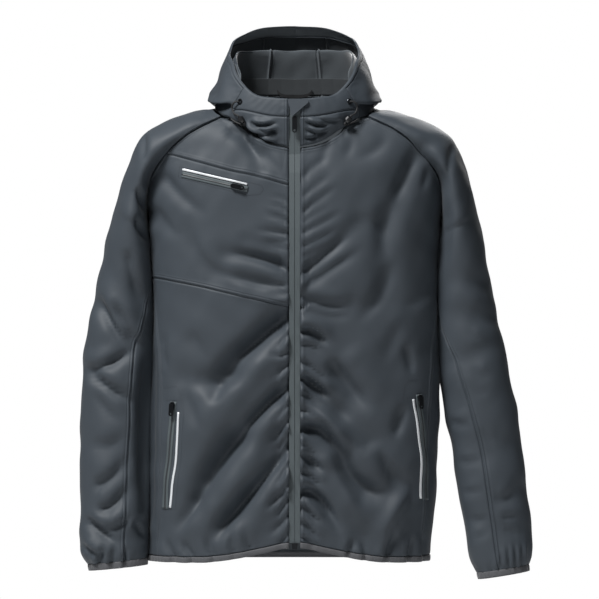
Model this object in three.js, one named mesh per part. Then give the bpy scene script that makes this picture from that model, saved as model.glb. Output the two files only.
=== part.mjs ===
// A men's hooded softshell jacket, filled out as if worn, with nothing inside it.
// Millimetres, +Z up, front facing -Y. The origin is the middle of the neck at the height where the
// shoulders begin. Right and left are the wearer's: right is at -X, left at +X.
import * as THREE from "three";
import { mergeVertices } from "three/addons/utils/BufferGeometryUtils.js";

// Driving sizes
const WALL = 2;
const SEAM_GAP = 0.3;
const ON_TOP = 0.35;
const BODY_POWER = 2.4;
const UNDERARM_Z = -200;
const ZIP_TAPE_EDGE = 9;
const FRONT_EDGE = ZIP_TAPE_EDGE + SEAM_GAP;
const BINDING_HEIGHT = 9;
const BINDING_WALL = 3;
const BODY_BOTTOM_Z = -732;
const REFLECTIVE_WIDTH = 3.2;
const REFLECTIVE_WALL = 1;
const POCKET_TAPE_WIDTH = 10;
const POCKET_TAPE_WALL = 1.2;
const CORD_DIAMETER = 3;

// Body rings by height: half width on each side, depth of front and back from the side line.
const BODY_RINGS = [
  { z: -745, right: 242, left: 223, front: 104, back: 100 },
  { z: -695, right: 242, left: 226, front: 108, back: 103 },
  { z: -640, right: 241, left: 232, front: 111, back: 103 },
  { z: -540, right: 240, left: 237, front: 111, back: 99 },
  { z: -480, right: 239, left: 240, front: 110, back: 97 },
  { z: -400, right: 235, left: 239, front: 110, back: 98 },
  { z: -330, right: 233.5, left: 237, front: 112, back: 102 },
  { z: -275, right: 235.5, left: 235, front: 115, back: 107 },
  { z: -200, right: 240, left: 240, front: 116, back: 111 },
  { z: -150, right: 243, left: 244, front: 113, back: 113 },
  { z: -116, right: 245, left: 246, front: 110, back: 113 },
  { z: -94, right: 246, left: 247, front: 107, back: 112 },
  { z: -66, right: 247, left: 247, front: 100, back: 108 },
  { z: -46, right: 247, left: 247, front: 94, back: 105 },
  { z: -30, right: 247, left: 247, front: 84, back: 101 },
  { z: -12, right: 247, left: 247, front: 66, back: 96 },
  { z: 5, right: 247, left: 247, front: 50, back: 91 },
  { z: 25, right: 247, left: 247, front: 34, back: 83 },
];

// Raglan seams: distance from the middle by height, front and back, from the neck to the underarm.
const RAGLAN_FRONT = [
  { z: -200, x: 240 },
  { z: -150, x: 242 },
  { z: -116, x: 238 },
  { z: -94, x: 227 },
  { z: -66, x: 206 },
  { z: -46, x: 183 },
  { z: -30, x: 157 },
  { z: -12, x: 120 },
];
const RAGLAN_BACK = [
  { z: -200, x: 240 },
  { z: -150, x: 237 },
  { z: -105, x: 220 },
  { z: -65, x: 190 },
  { z: -30, x: 155 },
  { z: -2, x: 120 },
  { z: 20, x: 86 },
];

// Side panel seams below the underarm, as a share of the body's half width at that height.
const SIDE_SEAM = [
  { z: -745, share: 0.935 },
  { z: -600, share: 0.925 },
  { z: -462, share: 0.93 },
  { z: -344, share: 0.975 },
  { z: -274, share: 0.994 },
  { z: -230, share: 0.9985 },
  { z: -200, share: 1 },
];

// Edges that run across the front, as height by distance from the middle.
const FRONT_NECK_EDGE = [
  { x: 0, z: -64 },
  { x: 38, z: -57 },
  { x: 64, z: -45 },
  { x: 88, z: -25 },
  { x: 105, z: -17.5 },
  { x: 120, z: -12 },
];
const BACK_NECK_EDGE = [
  { x: 0, z: 22 },
  { x: 50, z: 21.5 },
  { x: 86, z: 20 },
];
const YOKE_SEAM = [
  { x: 0, z: -126 },
  { x: 17, z: -122 },
  { x: 64, z: -109 },
  { x: 103, z: -101 },
  { x: 150, z: -88 },
  { x: 208, z: -72 },
];
const CHEST_SEAM = [
  { x: 0, z: -324 },
  { x: 12, z: -322 },
  { x: 103, z: -302 },
  { x: 155, z: -290 },
  { x: 236, z: -274 },
];
const FRONT_HEM = [
  { x: 0, z: BODY_BOTTOM_Z + 24 },
  { x: 14, z: BODY_BOTTOM_Z + 24 },
  { x: 50, z: BODY_BOTTOM_Z + 16 },
  { x: 100, z: BODY_BOTTOM_Z + 6 },
  { x: 150, z: BODY_BOTTOM_Z },
  { x: 242, z: BODY_BOTTOM_Z },
];

// The largest folds of the fronts: soft troughs (depth below zero) and ridges from one point to another.
const FRONT_FOLDS = [
  { x1: -24, z1: -343, x2: -117, z2: -430, width: 20, depth: -9 },
  { x1: -117, z1: -430, x2: -178, z2: -440, width: 20, depth: -6 },
  { x1: -24, z1: -472, x2: -91, z2: -539, width: 17, depth: -8 },
  { x1: -91, z1: -539, x2: -158, z2: -640, width: 20, depth: -8 },
  { x1: -20, z1: -529, x2: -91, z2: -662, width: 18, depth: -7 },
  { x1: -60, z1: -420, x2: -150, z2: -520, width: 22, depth: 5 },
  { x1: -22, z1: -252, x2: -112, z2: -236, width: 15, depth: -6 },
  { x1: -22, z1: -226, x2: -80, z2: -215, width: 12, depth: -4 },
  { x1: -85, z1: -30, x2: -56, z2: -98, width: 13, depth: -5 },
  { x1: 15, z1: -443, x2: 76, z2: -495, width: 17, depth: -7 },
  { x1: 76, z1: -495, x2: 119, z2: -543, width: 19, depth: -6 },
  { x1: 15, z1: -525, x2: 76, z2: -564, width: 16, depth: -7 },
  { x1: 76, z1: -564, x2: 186, z2: -625, width: 20, depth: -6 },
  { x1: 15, z1: -570, x2: 112, z2: -700, width: 18, depth: -7 },
  { x1: 50, z1: -500, x2: 140, z2: -600, width: 20, depth: 4 },
  { x1: 17, z1: -262, x2: 107, z2: -186, width: 16, depth: -6 },
  { x1: 202, z1: -70, x2: 150, z2: -190, width: 18, depth: -6 },
  { x1: 150, z1: -190, x2: 150, z2: -312, width: 22, depth: -6 },
  { x1: 16, z1: -318, x2: 90, z2: -320, width: 14, depth: -5 },
];
const BACK_FOLDS = [
  { x1: -190, z1: -210, x2: -70, z2: -330, width: 24, depth: -6 },
  { x1: 190, z1: -230, x2: 80, z2: -330, width: 24, depth: -6 },
  { x1: -150, z1: -440, x2: 30, z2: -470, width: 20, depth: -8 },
  { x1: 150, z1: -520, x2: -20, z2: -500, width: 22, depth: -7 },
  { x1: -120, z1: -560, x2: 120, z2: -600, width: 20, depth: -7 },
  { x1: -60, z1: -90, x2: -20, z2: -260, width: 26, depth: -5 },
  { x1: 40, z1: -80, x2: 30, z2: -300, width: 24, depth: -4 },
];

// Sleeve sections by station. Above the underarm (station 7) a section is an arc from the front raglan
// seam (height frontZ) over the top line (topX, topY, topZ) to the back seam (backZ). From there down it
// is closed, from the inner line (innerX, innerZ) out to the top line, `deep` to the front and the back.
// bow is how far the arc's ends leave the seam towards the front or back, as a share of `deep`.
const SLEEVE_RIGHT = [
  { station: 0, topX: 137, topY: 12, topZ: 3, frontZ: -12, backZ: 20, deep: 30, bow: 0.1 },
  { station: 1, topX: 166, topY: 12, topZ: 1, frontZ: -24, backZ: 4, deep: 40, bow: 0.15 },
  { station: 2, topX: 207, topY: 12, topZ: -13, frontZ: -42, backZ: -22, deep: 54, bow: 0.25 },
  { station: 3, topX: 244, topY: 12, topZ: -33, frontZ: -64, backZ: -52, deep: 66, bow: 0.4 },
  { station: 4, topX: 262, topY: 12, topZ: -55, frontZ: -88, backZ: -82, deep: 72, bow: 0.55 },
  { station: 5, topX: 275, topY: 12, topZ: -88, frontZ: -118, backZ: -116, deep: 75, bow: 0.75 },
  { station: 6, topX: 287, topY: 12, topZ: -124, frontZ: -158, backZ: -158, deep: 76, bow: 0.9 },
  { station: 7, topX: 298, topY: 12, topZ: -164, frontZ: -201, backZ: -201, deep: 76, bow: 1 },
  { station: 8, topX: 310, topY: 11, topZ: -206, innerX: 243.5, innerZ: -240, deep: 74, bow: 1 },
  { station: 9, topX: 319, topY: 9, topZ: -250, innerX: 243, innerZ: -280, deep: 71, bow: 1 },
  { station: 10, topX: 330, topY: 6, topZ: -297, innerX: 241, innerZ: -321, deep: 67, bow: 1 },
  { station: 11, topX: 341, topY: 3, topZ: -346, innerX: 240, innerZ: -362, deep: 63, bow: 1 },
  { station: 12, topX: 350.5, topY: 0, topZ: -405, innerX: 240, innerZ: -412, deep: 60, bow: 1 },
  { station: 13, topX: 353, topY: -4, topZ: -470, innerX: 242.5, innerZ: -470, deep: 57, bow: 1 },
  { station: 14, topX: 354, topY: -8, topZ: -540, innerX: 244, innerZ: -540, deep: 54, bow: 1 },
  { station: 15, topX: 355, topY: -13, topZ: -610, innerX: 245, innerZ: -610, deep: 51, bow: 1 },
  { station: 16, topX: 356, topY: -17, topZ: -672, innerX: 245, innerZ: -672, deep: 49, bow: 1 },
  { station: 17, topX: 354, topY: -20, topZ: -722, innerX: 245, innerZ: -718, deep: 45, bow: 1 },
  { station: 18, topX: 340, topY: -21, topZ: -748, innerX: 246, innerZ: -738, deep: 38, bow: 1 },
];
const SLEEVE_LEFT = [
  { station: 0, topX: 137, topY: 12, topZ: 3, frontZ: -12, backZ: 20, deep: 30, bow: 0.1 },
  { station: 1, topX: 166, topY: 12, topZ: 0, frontZ: -24, backZ: 4, deep: 40, bow: 0.15 },
  { station: 2, topX: 210, topY: 12, topZ: -16, frontZ: -42, backZ: -22, deep: 54, bow: 0.25 },
  { station: 3, topX: 250, topY: 12, topZ: -36, frontZ: -64, backZ: -52, deep: 66, bow: 0.4 },
  { station: 4, topX: 269, topY: 12, topZ: -60, frontZ: -88, backZ: -82, deep: 72, bow: 0.55 },
  { station: 5, topX: 282, topY: 12, topZ: -92, frontZ: -118, backZ: -116, deep: 75, bow: 0.75 },
  { station: 6, topX: 293, topY: 12, topZ: -130, frontZ: -158, backZ: -158, deep: 76, bow: 0.9 },
  { station: 7, topX: 303, topY: 12, topZ: -172, frontZ: -201, backZ: -201, deep: 76, bow: 1 },
  { station: 8, topX: 312, topY: 11, topZ: -212, innerX: 243.5, innerZ: -238, deep: 74, bow: 1 },
  { station: 9, topX: 320, topY: 9, topZ: -258, innerX: 243, innerZ: -280, deep: 71, bow: 1 },
  { station: 10, topX: 329, topY: 6, topZ: -302, innerX: 242, innerZ: -324, deep: 67, bow: 1 },
  { station: 11, topX: 341, topY: 3, topZ: -355, innerX: 243, innerZ: -376, deep: 63, bow: 1 },
  { station: 12, topX: 351, topY: 0, topZ: -406, innerX: 244.5, innerZ: -426, deep: 60, bow: 1 },
  { station: 13, topX: 363, topY: -4, topZ: -468, innerX: 247, innerZ: -486, deep: 57, bow: 1 },
  { station: 14, topX: 373, topY: -8, topZ: -534, innerX: 257, innerZ: -548, deep: 54, bow: 1 },
  { station: 15, topX: 383, topY: -13, topZ: -600, innerX: 267, innerZ: -612, deep: 51, bow: 1 },
  { station: 16, topX: 388.5, topY: -17, topZ: -664, innerX: 277.5, innerZ: -676, deep: 49, bow: 1 },
  { station: 17, topX: 394, topY: -20, topZ: -722, innerX: 287, innerZ: -734, deep: 45, bow: 1 },
  { station: 18, topX: 385, topY: -21, topZ: -748, innerX: 301, innerZ: -762, deep: 38, bow: 1 },
];
const UNDERARM_STATION = 7;
const CUFF_STATION = 18;

// Share of the half turn from the inner line to the outer line at which the sleeve seams lie, by station.
const SLEEVE_SEAM = [
  { station: 7, right: 0, left: 0 },
  { station: 8, right: 0.06, left: 0.06 },
  { station: 10, right: 0.2, left: 0.12 },
  { station: 12, right: 0.34, left: 0.33 },
  { station: 14, right: 0.36, left: 0.42 },
  { station: 16, right: 0.38, left: 0.43 },
  { station: 18, right: 0.4, left: 0.44 },
];

// Sleeve folds: troughs across the arm around elbow and cuff. `turn` is where round the arm the fold is
// deepest (0.25 front, 0.5 outer line, 0.75 back), `reach` how far it runs either way.
const SLEEVE_FOLDS = [
  { station: 9.4, turn: 0.3, reach: 0.16, width: 0.5, slant: 2.2, depth: -5 },
  { station: 10.6, turn: 0.34, reach: 0.2, width: 0.4, slant: 1.6, depth: -6 },
  { station: 11.7, turn: 0.26, reach: 0.16, width: 0.35, slant: -1.2, depth: -6 },
  { station: 11.2, turn: 0.7, reach: 0.18, width: 0.45, slant: 1.5, depth: -6 },
  { station: 12.6, turn: 0.64, reach: 0.2, width: 0.4, slant: -1.4, depth: -5 },
  { station: 14.2, turn: 0.3, reach: 0.18, width: 0.45, slant: 1.8, depth: -4 },
  { station: 15.4, turn: 0.36, reach: 0.2, width: 0.4, slant: -1.6, depth: -5 },
  { station: 16.3, turn: 0.3, reach: 0.2, width: 0.32, slant: 1.4, depth: -5 },
  { station: 16.9, turn: 0.66, reach: 0.2, width: 0.35, slant: -1.2, depth: -5 },
];

// Hood by station, from the back middle (0) round to the front middle (10), as distance from the middle,
// y and z of: the neck seam, the soft fold that stands round the neck, the inner wall of the bag behind
// the fold, its bottom, its outer wall low and high, and the rim.
const HOOD_NECK = [
  { station: 0, x: 0, y: 79, z: 26 },
  { station: 1, x: 46, y: 77, z: 26 },
  { station: 2, x: 88, y: 66, z: 25 },
  { station: 3, x: 118, y: 44, z: 21 },
  { station: 4, x: 131, y: 14, z: 12 },
  { station: 5, x: 130, y: -18, z: 2 },
  { station: 6, x: 119, y: -50, z: -8 },
  { station: 7, x: 104, y: -66, z: -14 },
  { station: 8, x: 78, y: -83, z: -31 },
  { station: 9, x: 42, y: -96, z: -53 },
  { station: 10, x: 9.3, y: -100, z: -61 },
];
const HOOD_FOLD = [
  { station: 0, x: 0, y: 64, z: 97 },
  { station: 1, x: 40, y: 60, z: 93 },
  { station: 2, x: 74, y: 48, z: 89 },
  { station: 3, x: 90, y: 26, z: 85 },
  { station: 4, x: 95, y: -4, z: 76 },
  { station: 5, x: 93, y: -32, z: 62 },
  { station: 6, x: 88, y: -54, z: 44 },
  { station: 7, x: 101.9, y: -71.8, z: -2.3 },
  { station: 8, x: 76.1, y: -89.3, z: -18.1 },
  { station: 9, x: 40.8, y: -100.6, z: -35.9 },
  { station: 10, x: 9.3, y: -103.9, z: -42.4 },
];
const HOOD_BAG_INNER = [
  { station: 0, x: 0, y: 112, z: 10 },
  { station: 1, x: 54, y: 108, z: 12 },
  { station: 2, x: 104, y: 90, z: 18 },
  { station: 3, x: 134, y: 58, z: 24 },
  { station: 4, x: 139, y: 18, z: 27 },
  { station: 5, x: 132, y: -22, z: 24 },
  { station: 6, x: 118, y: -52, z: 18 },
  { station: 7, x: 98.6, y: -75.1, z: 7 },
  { station: 8, x: 73.7, y: -92.3, z: -7.9 },
  { station: 9, x: 39.6, y: -102.6, z: -22.1 },
  { station: 10, x: 9.3, y: -105.6, z: -27.6 },
];
const HOOD_BAG_BOTTOM = [
  { station: 0, x: 0, y: 131, z: -36 },
  { station: 1, x: 60, y: 128, z: -24 },
  { station: 2, x: 112, y: 110, z: 2 },
  { station: 3, x: 144, y: 70, z: 18 },
  { station: 4, x: 148, y: 20, z: 18 },
  { station: 5, x: 140, y: -26, z: 14 },
  { station: 6, x: 124, y: -56, z: 12 },
  { station: 7, x: 95.8, y: -76.5, z: 12.8 },
  { station: 8, x: 71.7, y: -93.3, z: -1.4 },
  { station: 9, x: 38.6, y: -103.1, z: -13.6 },
  { station: 10, x: 9.3, y: -106.2, z: -18.3 },
];
const HOOD_BAG_OUTER = [
  { station: 0, x: 0, y: 151, z: 20 },
  { station: 1, x: 62, y: 146, z: 22 },
  { station: 2, x: 116, y: 122, z: 28 },
  { station: 3, x: 147, y: 76, z: 34 },
  { station: 4, x: 146, y: 22, z: 34 },
  { station: 5, x: 134, y: -26, z: 32 },
  { station: 6, x: 117, y: -56, z: 26 },
  { station: 7, x: 92.4, y: -77.6, z: 18.7 },
  { station: 8, x: 69.3, y: -93.7, z: 5 },
  { station: 9, x: 37.6, y: -103.1, z: -5 },
  { station: 10, x: 9.3, y: -106.2, z: -9 },
];
const HOOD_BAG_HIGH = [
  { station: 0, x: 0, y: 152, z: 88 },
  { station: 1, x: 55, y: 144, z: 84 },
  { station: 2, x: 98, y: 118, z: 76 },
  { station: 3, x: 120, y: 72, z: 70 },
  { station: 4, x: 121, y: 20, z: 64 },
  { station: 5, x: 113, y: -26, z: 54 },
  { station: 6, x: 103, y: -56, z: 40 },
  { station: 7, x: 86.8, y: -78.2, z: 26.8 },
  { station: 8, x: 65.5, y: -93, z: 14 },
  { station: 9, x: 35.9, y: -102.1, z: 7 },
  { station: 10, x: 9.3, y: -105.6, z: 4 },
];
const HOOD_RIM = [
  { station: 0, x: 0, y: 122, z: 141 },
  { station: 1, x: 52, y: 112, z: 132 },
  { station: 2, x: 88, y: 86, z: 114 },
  { station: 3, x: 104, y: 46, z: 94 },
  { station: 4, x: 106, y: 6, z: 78 },
  { station: 5, x: 101, y: -32, z: 65 },
  { station: 6, x: 94, y: -60, z: 49 },
  { station: 7, x: 80, y: -78, z: 35 },
  { station: 8, x: 61, y: -91, z: 23 },
  { station: 9, x: 34, y: -100, z: 19 },
  { station: 10, x: 9.3, y: -104, z: 17 },
];
const HOOD_PROFILE = [
  { way: 0, table: HOOD_NECK },
  { way: 2, table: HOOD_FOLD },
  { way: 3.6, table: HOOD_BAG_INNER },
  { way: 4.6, table: HOOD_BAG_BOTTOM },
  { way: 5.6, table: HOOD_BAG_OUTER },
  { way: 7, table: HOOD_BAG_HIGH },
  { way: 8.4, table: HOOD_RIM },
];
const CENTRE_PANEL_STATION = 1;
const CHIN_STATION = 7;
const FRONT_STATION = 10;
const CHIN_SEAM = [
  { station: 7, way: 2.6 },
  { station: 8, way: 4.2 },
  { station: 9, way: 4.9 },
  { station: 10, way: 5.2 },
];
const RIM_BAND_WAY = 7.9;
const RIM_WAY = 8.4;

// Pocket openings on the fronts, from the top down or from the outside in: zip line and reflective edge.
const CHEST_ZIP = [
  { along: 0, x: -184, z: -106 },
  { along: 1, x: -76, z: -131.5 },
];
const CHEST_STRIP = [
  { along: 0, x: -183, z: -98 },
  { along: 1, x: -77, z: -123 },
];
const HAND_ZIP_RIGHT = [
  { along: 0, x: -198, z: -478 },
  { along: 0.35, x: -203, z: -540 },
  { along: 0.7, x: -209.5, z: -602 },
  { along: 1, x: -212, z: -654 },
];
const HAND_STRIP_RIGHT = [
  { along: 0, x: -190, z: -495 },
  { along: 0.4, x: -193, z: -558 },
  { along: 0.7, x: -198, z: -606 },
  { along: 1, x: -204, z: -652 },
];
const HAND_ZIP_LEFT = [
  { along: 0, x: 203, z: -466 },
  { along: 0.35, x: 210, z: -528 },
  { along: 0.7, x: 215.5, z: -590 },
  { along: 1, x: 215, z: -640 },
];
const HAND_STRIP_LEFT = [
  { along: 0, x: 194, z: -474 },
  { along: 0.3, x: 201, z: -520 },
  { along: 0.6, x: 207, z: -575 },
  { along: 1, x: 207, z: -637 },
];

// Sliders of the pocket zips: where on the zip, and which way the pull tab lies.
const SLIDER_LENGTH = 9;
const SLIDER_WIDTH = 8;
const SLIDER_WALL = 3.2;
const TAB_WALL = 1.6;
const TAB_GAP = 0.4;
const POCKET_TAB = { length: 20, width: 8, hole: 1.6 };
const MAIN_TAB = { length: 24, width: 8, hole: 1.8 };
const MAIN_SLIDER_Z = -18;

// Hood cord route by point: station and way on the hood's surface and how far out its middle lies.
const CORD_ROUTE = [
  { station: 7.25, way: 5.0, out: 3.4 },
  { station: 7.12, way: 4.6, out: 6.5 },
  { station: 7.05, way: 3.9, out: 7.5 },
  { station: 7.1, way: 3.0, out: 6 },
  { station: 7.35, way: 2.5, out: 6.6 },
];
const CORD_TAIL = [
  { station: 7.9, way: 0.8, out: 5.8 },
  { station: 7.65, way: 0.7, out: 5.4 },
  { station: 7.4, way: 0.75, out: 5.2 },
  { station: 7.2, way: 0.8, out: 5.2 },
];
const LOCK_PLACE = { station: 7.8, way: 2.05, out: 9.4 };
const LOCK_LENGTH = 11;
const LOCK_RADIUS = 5.4;
const EYELET_PLACE = { station: 7.25, way: 5.0 };
const EYELET_RADIUS = 5;
const EYELET_HOLE = 2;

const COLOURS = {
  shell: { color: 0x464a50, roughness: 0.55, metalness: 0 },
  binding: { color: 0x4b4c4e, roughness: 0.8, metalness: 0 },
  fleece: { color: 0x5c6165, roughness: 0.95, metalness: 0 },
  tape: { color: 0x4a5254, roughness: 0.75, metalness: 0 },
  reflective: { color: 0xc8cdd0, roughness: 0.35, metalness: 0.2 },
  plastic: { color: 0x1c1e20, roughness: 0.4, metalness: 0 },
  metal: { color: 0x3a3d40, roughness: 0.3, metalness: 0.9 },
};

const jacket = new THREE.Group();

// Smooth value of one column of a table at a key, flat past both ends.
function column(table, key, at, name) {
  const last = table.length - 1;
  const rising = table[last][key] > table[0][key];
  const rows = rising ? table : [...table].reverse();
  if (at <= rows[0][key]) return rows[0][name];
  if (at >= rows[last][key]) return rows[last][name];
  let i = 0;
  while (rows[i + 1][key] < at) i++;
  const before = rows[Math.max(i - 1, 0)];
  const from = rows[i];
  const to = rows[i + 1];
  const after = rows[Math.min(i + 2, last)];
  const span = to[key] - from[key];
  const t = (at - from[key]) / span;
  const slope = (a, b) => (b[key] === a[key] ? 0 : (b[name] - a[name]) / (b[key] - a[key]));
  const m0 = slope(before, to) * span;
  const m1 = slope(from, after) * span;
  const t2 = t * t;
  const t3 = t2 * t;
  return (2 * t3 - 3 * t2 + 1) * from[name] + (t3 - 2 * t2 + t) * m0
    + (3 * t2 - 2 * t3) * to[name] + (t3 - t2) * m1;
}

const mix = (a, b, t) => a + (b - a) * t;

function add(name, geometry, look) {
  const mesh = new THREE.Mesh(geometry, new THREE.MeshStandardMaterial(COLOURS[look]));
  mesh.name = name;
  mesh.material.name = look;
  jacket.add(mesh);
  return mesh;
}

// A closed cloth wall from an outer skin and an inner skin of points, both rows by columns.
function wallGeometry(outer, inner) {
  const rows = outer.length;
  const columns = outer[0].length;
  const positions = [];
  [outer, inner].forEach((skin) => skin.forEach((row) => row.forEach((p) => positions.push(p.x, p.y, p.z))));
  const at = (side, i, j) => side * rows * columns + i * columns + j;
  const index = [];
  const quad = (a, b, c, d) => index.push(a, b, c, a, c, d);
  for (let i = 0; i + 1 < rows; i++) {
    for (let j = 0; j + 1 < columns; j++) {
      quad(at(0, i, j), at(0, i, j + 1), at(0, i + 1, j + 1), at(0, i + 1, j));
      quad(at(1, i, j), at(1, i + 1, j), at(1, i + 1, j + 1), at(1, i, j + 1));
    }
  }
  for (let j = 0; j + 1 < columns; j++) {
    quad(at(0, 0, j + 1), at(0, 0, j), at(1, 0, j), at(1, 0, j + 1));
    quad(at(0, rows - 1, j), at(0, rows - 1, j + 1), at(1, rows - 1, j + 1), at(1, rows - 1, j));
  }
  for (let i = 0; i + 1 < rows; i++) {
    quad(at(0, i, 0), at(0, i + 1, 0), at(1, i + 1, 0), at(1, i, 0));
    quad(at(0, i + 1, columns - 1), at(0, i, columns - 1), at(1, i, columns - 1), at(1, i + 1, columns - 1));
  }
  const geometry = new THREE.BufferGeometry();
  geometry.setAttribute("position", new THREE.Float32BufferAttribute(positions, 3));
  geometry.setIndex(index);
  return geometry;
}

// A closed ring wall from an outer and an inner skin whose rows run right round.
function ringGeometry(outer, inner) {
  const count = outer[0].length;
  const positions = [];
  [...outer, ...inner.slice().reverse()].forEach((row) => row.forEach((p) => positions.push(p.x, p.y, p.z)));
  const loops = outer.length + inner.length;
  const index = [];
  for (let i = 0; i < loops; i++) {
    for (let j = 0; j < count; j++) {
      const a = i * count + j;
      const b = i * count + (j + 1) % count;
      const c = ((i + 1) % loops) * count + (j + 1) % count;
      const d = ((i + 1) % loops) * count + j;
      index.push(a, b, c, a, c, d);
    }
  }
  const geometry = new THREE.BufferGeometry();
  geometry.setAttribute("position", new THREE.Float32BufferAttribute(positions, 3));
  geometry.setIndex(index);
  return geometry;
}

// Turns a geometry's faces round when its volume comes out below zero.
function facingOut(geometry) {
  const p = geometry.attributes.position;
  const index = geometry.index;
  const a = new THREE.Vector3();
  const b = new THREE.Vector3();
  const c = new THREE.Vector3();
  let volume = 0;
  for (let i = 0; i < index.count; i += 3) {
    a.fromBufferAttribute(p, index.getX(i));
    b.fromBufferAttribute(p, index.getX(i + 1));
    c.fromBufferAttribute(p, index.getX(i + 2));
    volume += a.dot(b.cross(c));
  }
  if (volume < 0) {
    for (let i = 0; i < index.count; i += 3) {
      const first = index.getX(i);
      index.setX(i, index.getX(i + 1));
      index.setX(i + 1, first);
    }
  }
  return geometry;
}

// A cloth piece from a surface function: surface(u, v) gives { point, normal } with the normal outward.
// The wall reaches from `low` to `high` along the normal.
function clothPiece(name, look, surface, us, vs, low, high) {
  const outer = [];
  const inner = [];
  vs.forEach((v) => {
    const outerRow = [];
    const innerRow = [];
    us.forEach((u) => {
      const { point, normal } = surface(u, v);
      outerRow.push(point.clone().addScaledVector(normal, high));
      innerRow.push(point.clone().addScaledVector(normal, low));
    });
    outer.push(outerRow);
    inner.push(innerRow);
  });
  return add(name, facingOut(wallGeometry(outer, inner)), look);
}

const steps = (from, to, count) => Array.from({ length: count + 1 }, (_, i) => mix(from, to, i / count));

// Distance-based depth of a set of folds at a point seen from the front or back.
function foldDepth(folds, x, z) {
  return folds.reduce((sum, fold) => {
    const dx = fold.x2 - fold.x1;
    const dz = fold.z2 - fold.z1;
    const length2 = dx * dx + dz * dz;
    const along = ((x - fold.x1) * dx + (z - fold.z1) * dz) / length2;
    const held = THREE.MathUtils.clamp(along, 0, 1);
    const offX = x - fold.x1 - held * dx;
    const offZ = z - fold.z1 - held * dz;
    return sum + fold.depth * Math.exp(-(offX * offX + offZ * offZ) / (fold.width * fold.width));
  }, 0);
}

// Body

const ringAt = (z, name) => column(BODY_RINGS, "z", z, name);
const foldFade = (angle) => THREE.MathUtils.smoothstep(Math.cos(angle), 0.38, 0.62);
const SEAM_ARM = 100;

// Plain body surface: angle 0 is the front middle, quarter turn the side, half a turn the back middle.
function plainBody(side, angle, z) {
  const half = ringAt(z, side < 0 ? "right" : "left");
  const depth = ringAt(z, Math.cos(angle) > 0 ? "front" : "back");
  const share = 2 / BODY_POWER;
  const x = side * half * Math.abs(Math.sin(angle)) ** share;
  const y = -Math.sign(Math.cos(angle)) * depth * Math.abs(Math.cos(angle)) ** share;
  return new THREE.Vector3(x, y, z);
}

const ANGLE_STEP = 0.004;
const HEIGHT_STEP = 0.5;

function bodyPoint(side, angle, z) {
  const point = plainBody(side, angle, z);
  const around = plainBody(side, angle + ANGLE_STEP, z).sub(plainBody(side, angle - ANGLE_STEP, z));
  const up = plainBody(side, angle, z + HEIGHT_STEP).sub(plainBody(side, angle, z - HEIGHT_STEP));
  const normal = around.cross(up).normalize();
  if (normal.x * point.x + normal.y * point.y < 0) normal.negate();
  const front = Math.cos(angle) > 0;
  const besideZip = front
    ? THREE.MathUtils.smoothstep(Math.abs(point.x), ZIP_TAPE_EDGE, 3 * ZIP_TAPE_EDGE)
    : 1;
  const depth = foldDepth(front ? FRONT_FOLDS : BACK_FOLDS, point.x, z);
  const lift = besideZip * depth * foldFade(front ? angle : Math.PI - angle);
  point.addScaledVector(normal, lift);
  return { point, normal };
}

const angleOfShare = (share) => Math.asin(Math.min(share, 1) ** (BODY_POWER / 2));
const halfWidth = (side, z) => ringAt(z, side < 0 ? "right" : "left");
const angleOfX = (side, x, z) => angleOfShare(x / halfWidth(side, z));

// Angle of a panel's outer seam: the raglan seam above the underarm, the side panel's seam below it.
function seamAngle(side, z, raglan) {
  if (z > UNDERARM_Z) return angleOfX(side, column(raglan, "z", z, "x"), z);
  return angleOfShare(column(SIDE_SEAM, "z", z, "share"));
}

// A body panel between two heights that follow edges across it. u runs from the middle to the outer seam.
function bodyPanel(name, side, { back = false, bottom, top, us, vs }) {
  const raglan = back ? RAGLAN_BACK : RAGLAN_FRONT;
  const startX = back ? 0 : FRONT_EDGE;
  const place = (u, z) => {
    const end = seamAngle(side, z, raglan) - SEAM_GAP / SEAM_ARM;
    const start = angleOfX(side, startX, z);
    return mix(start, end, u);
  };
  const edge = (curve, u, shift) => {
    let z = column(curve, "x", halfWidth(side, UNDERARM_Z) * u, "z");
    for (let pass = 0; pass < 14; pass++) {
      const x = halfWidth(side, z) * Math.sin(place(u, z)) ** (2 / BODY_POWER);
      z = column(curve, "x", x, "z");
    }
    return z + shift;
  };
  const surface = (u, v) => {
    const z = mix(edge(bottom.curve, u, bottom.shift), edge(top.curve, u, top.shift), v);
    const angle = place(u, z);
    return bodyPoint(side, back ? Math.PI - angle : angle, z);
  };
  return clothPiece(name, "shell", surface, us, vs, -WALL, 0);
}

const below = (curve) => ({ curve, shift: -SEAM_GAP / 2 });
const above = (curve) => ({ curve, shift: SEAM_GAP / 2 });
const at = (curve) => ({ curve, shift: 0 });
const ACROSS_FRONT = [0, 0.07, 0.16, 0.26, 0.37, 0.48, 0.59, 0.7, 0.8, 0.9, 1];

bodyPanel("front_right_yoke", -1, {
  bottom: above(YOKE_SEAM), top: at(FRONT_NECK_EDGE), us: ACROSS_FRONT, vs: steps(0, 1, 4),
});
bodyPanel("front_right_chest", -1, {
  bottom: above(CHEST_SEAM), top: below(YOKE_SEAM), us: ACROSS_FRONT, vs: steps(0, 1, 8),
});
bodyPanel("front_right_lower", -1, {
  bottom: at(FRONT_HEM), top: below(CHEST_SEAM), us: ACROSS_FRONT, vs: steps(0, 1, 16),
});
bodyPanel("front_left", 1, {
  bottom: at(FRONT_HEM), top: at(FRONT_NECK_EDGE), us: ACROSS_FRONT, vs: steps(0, 1, 26),
});

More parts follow.
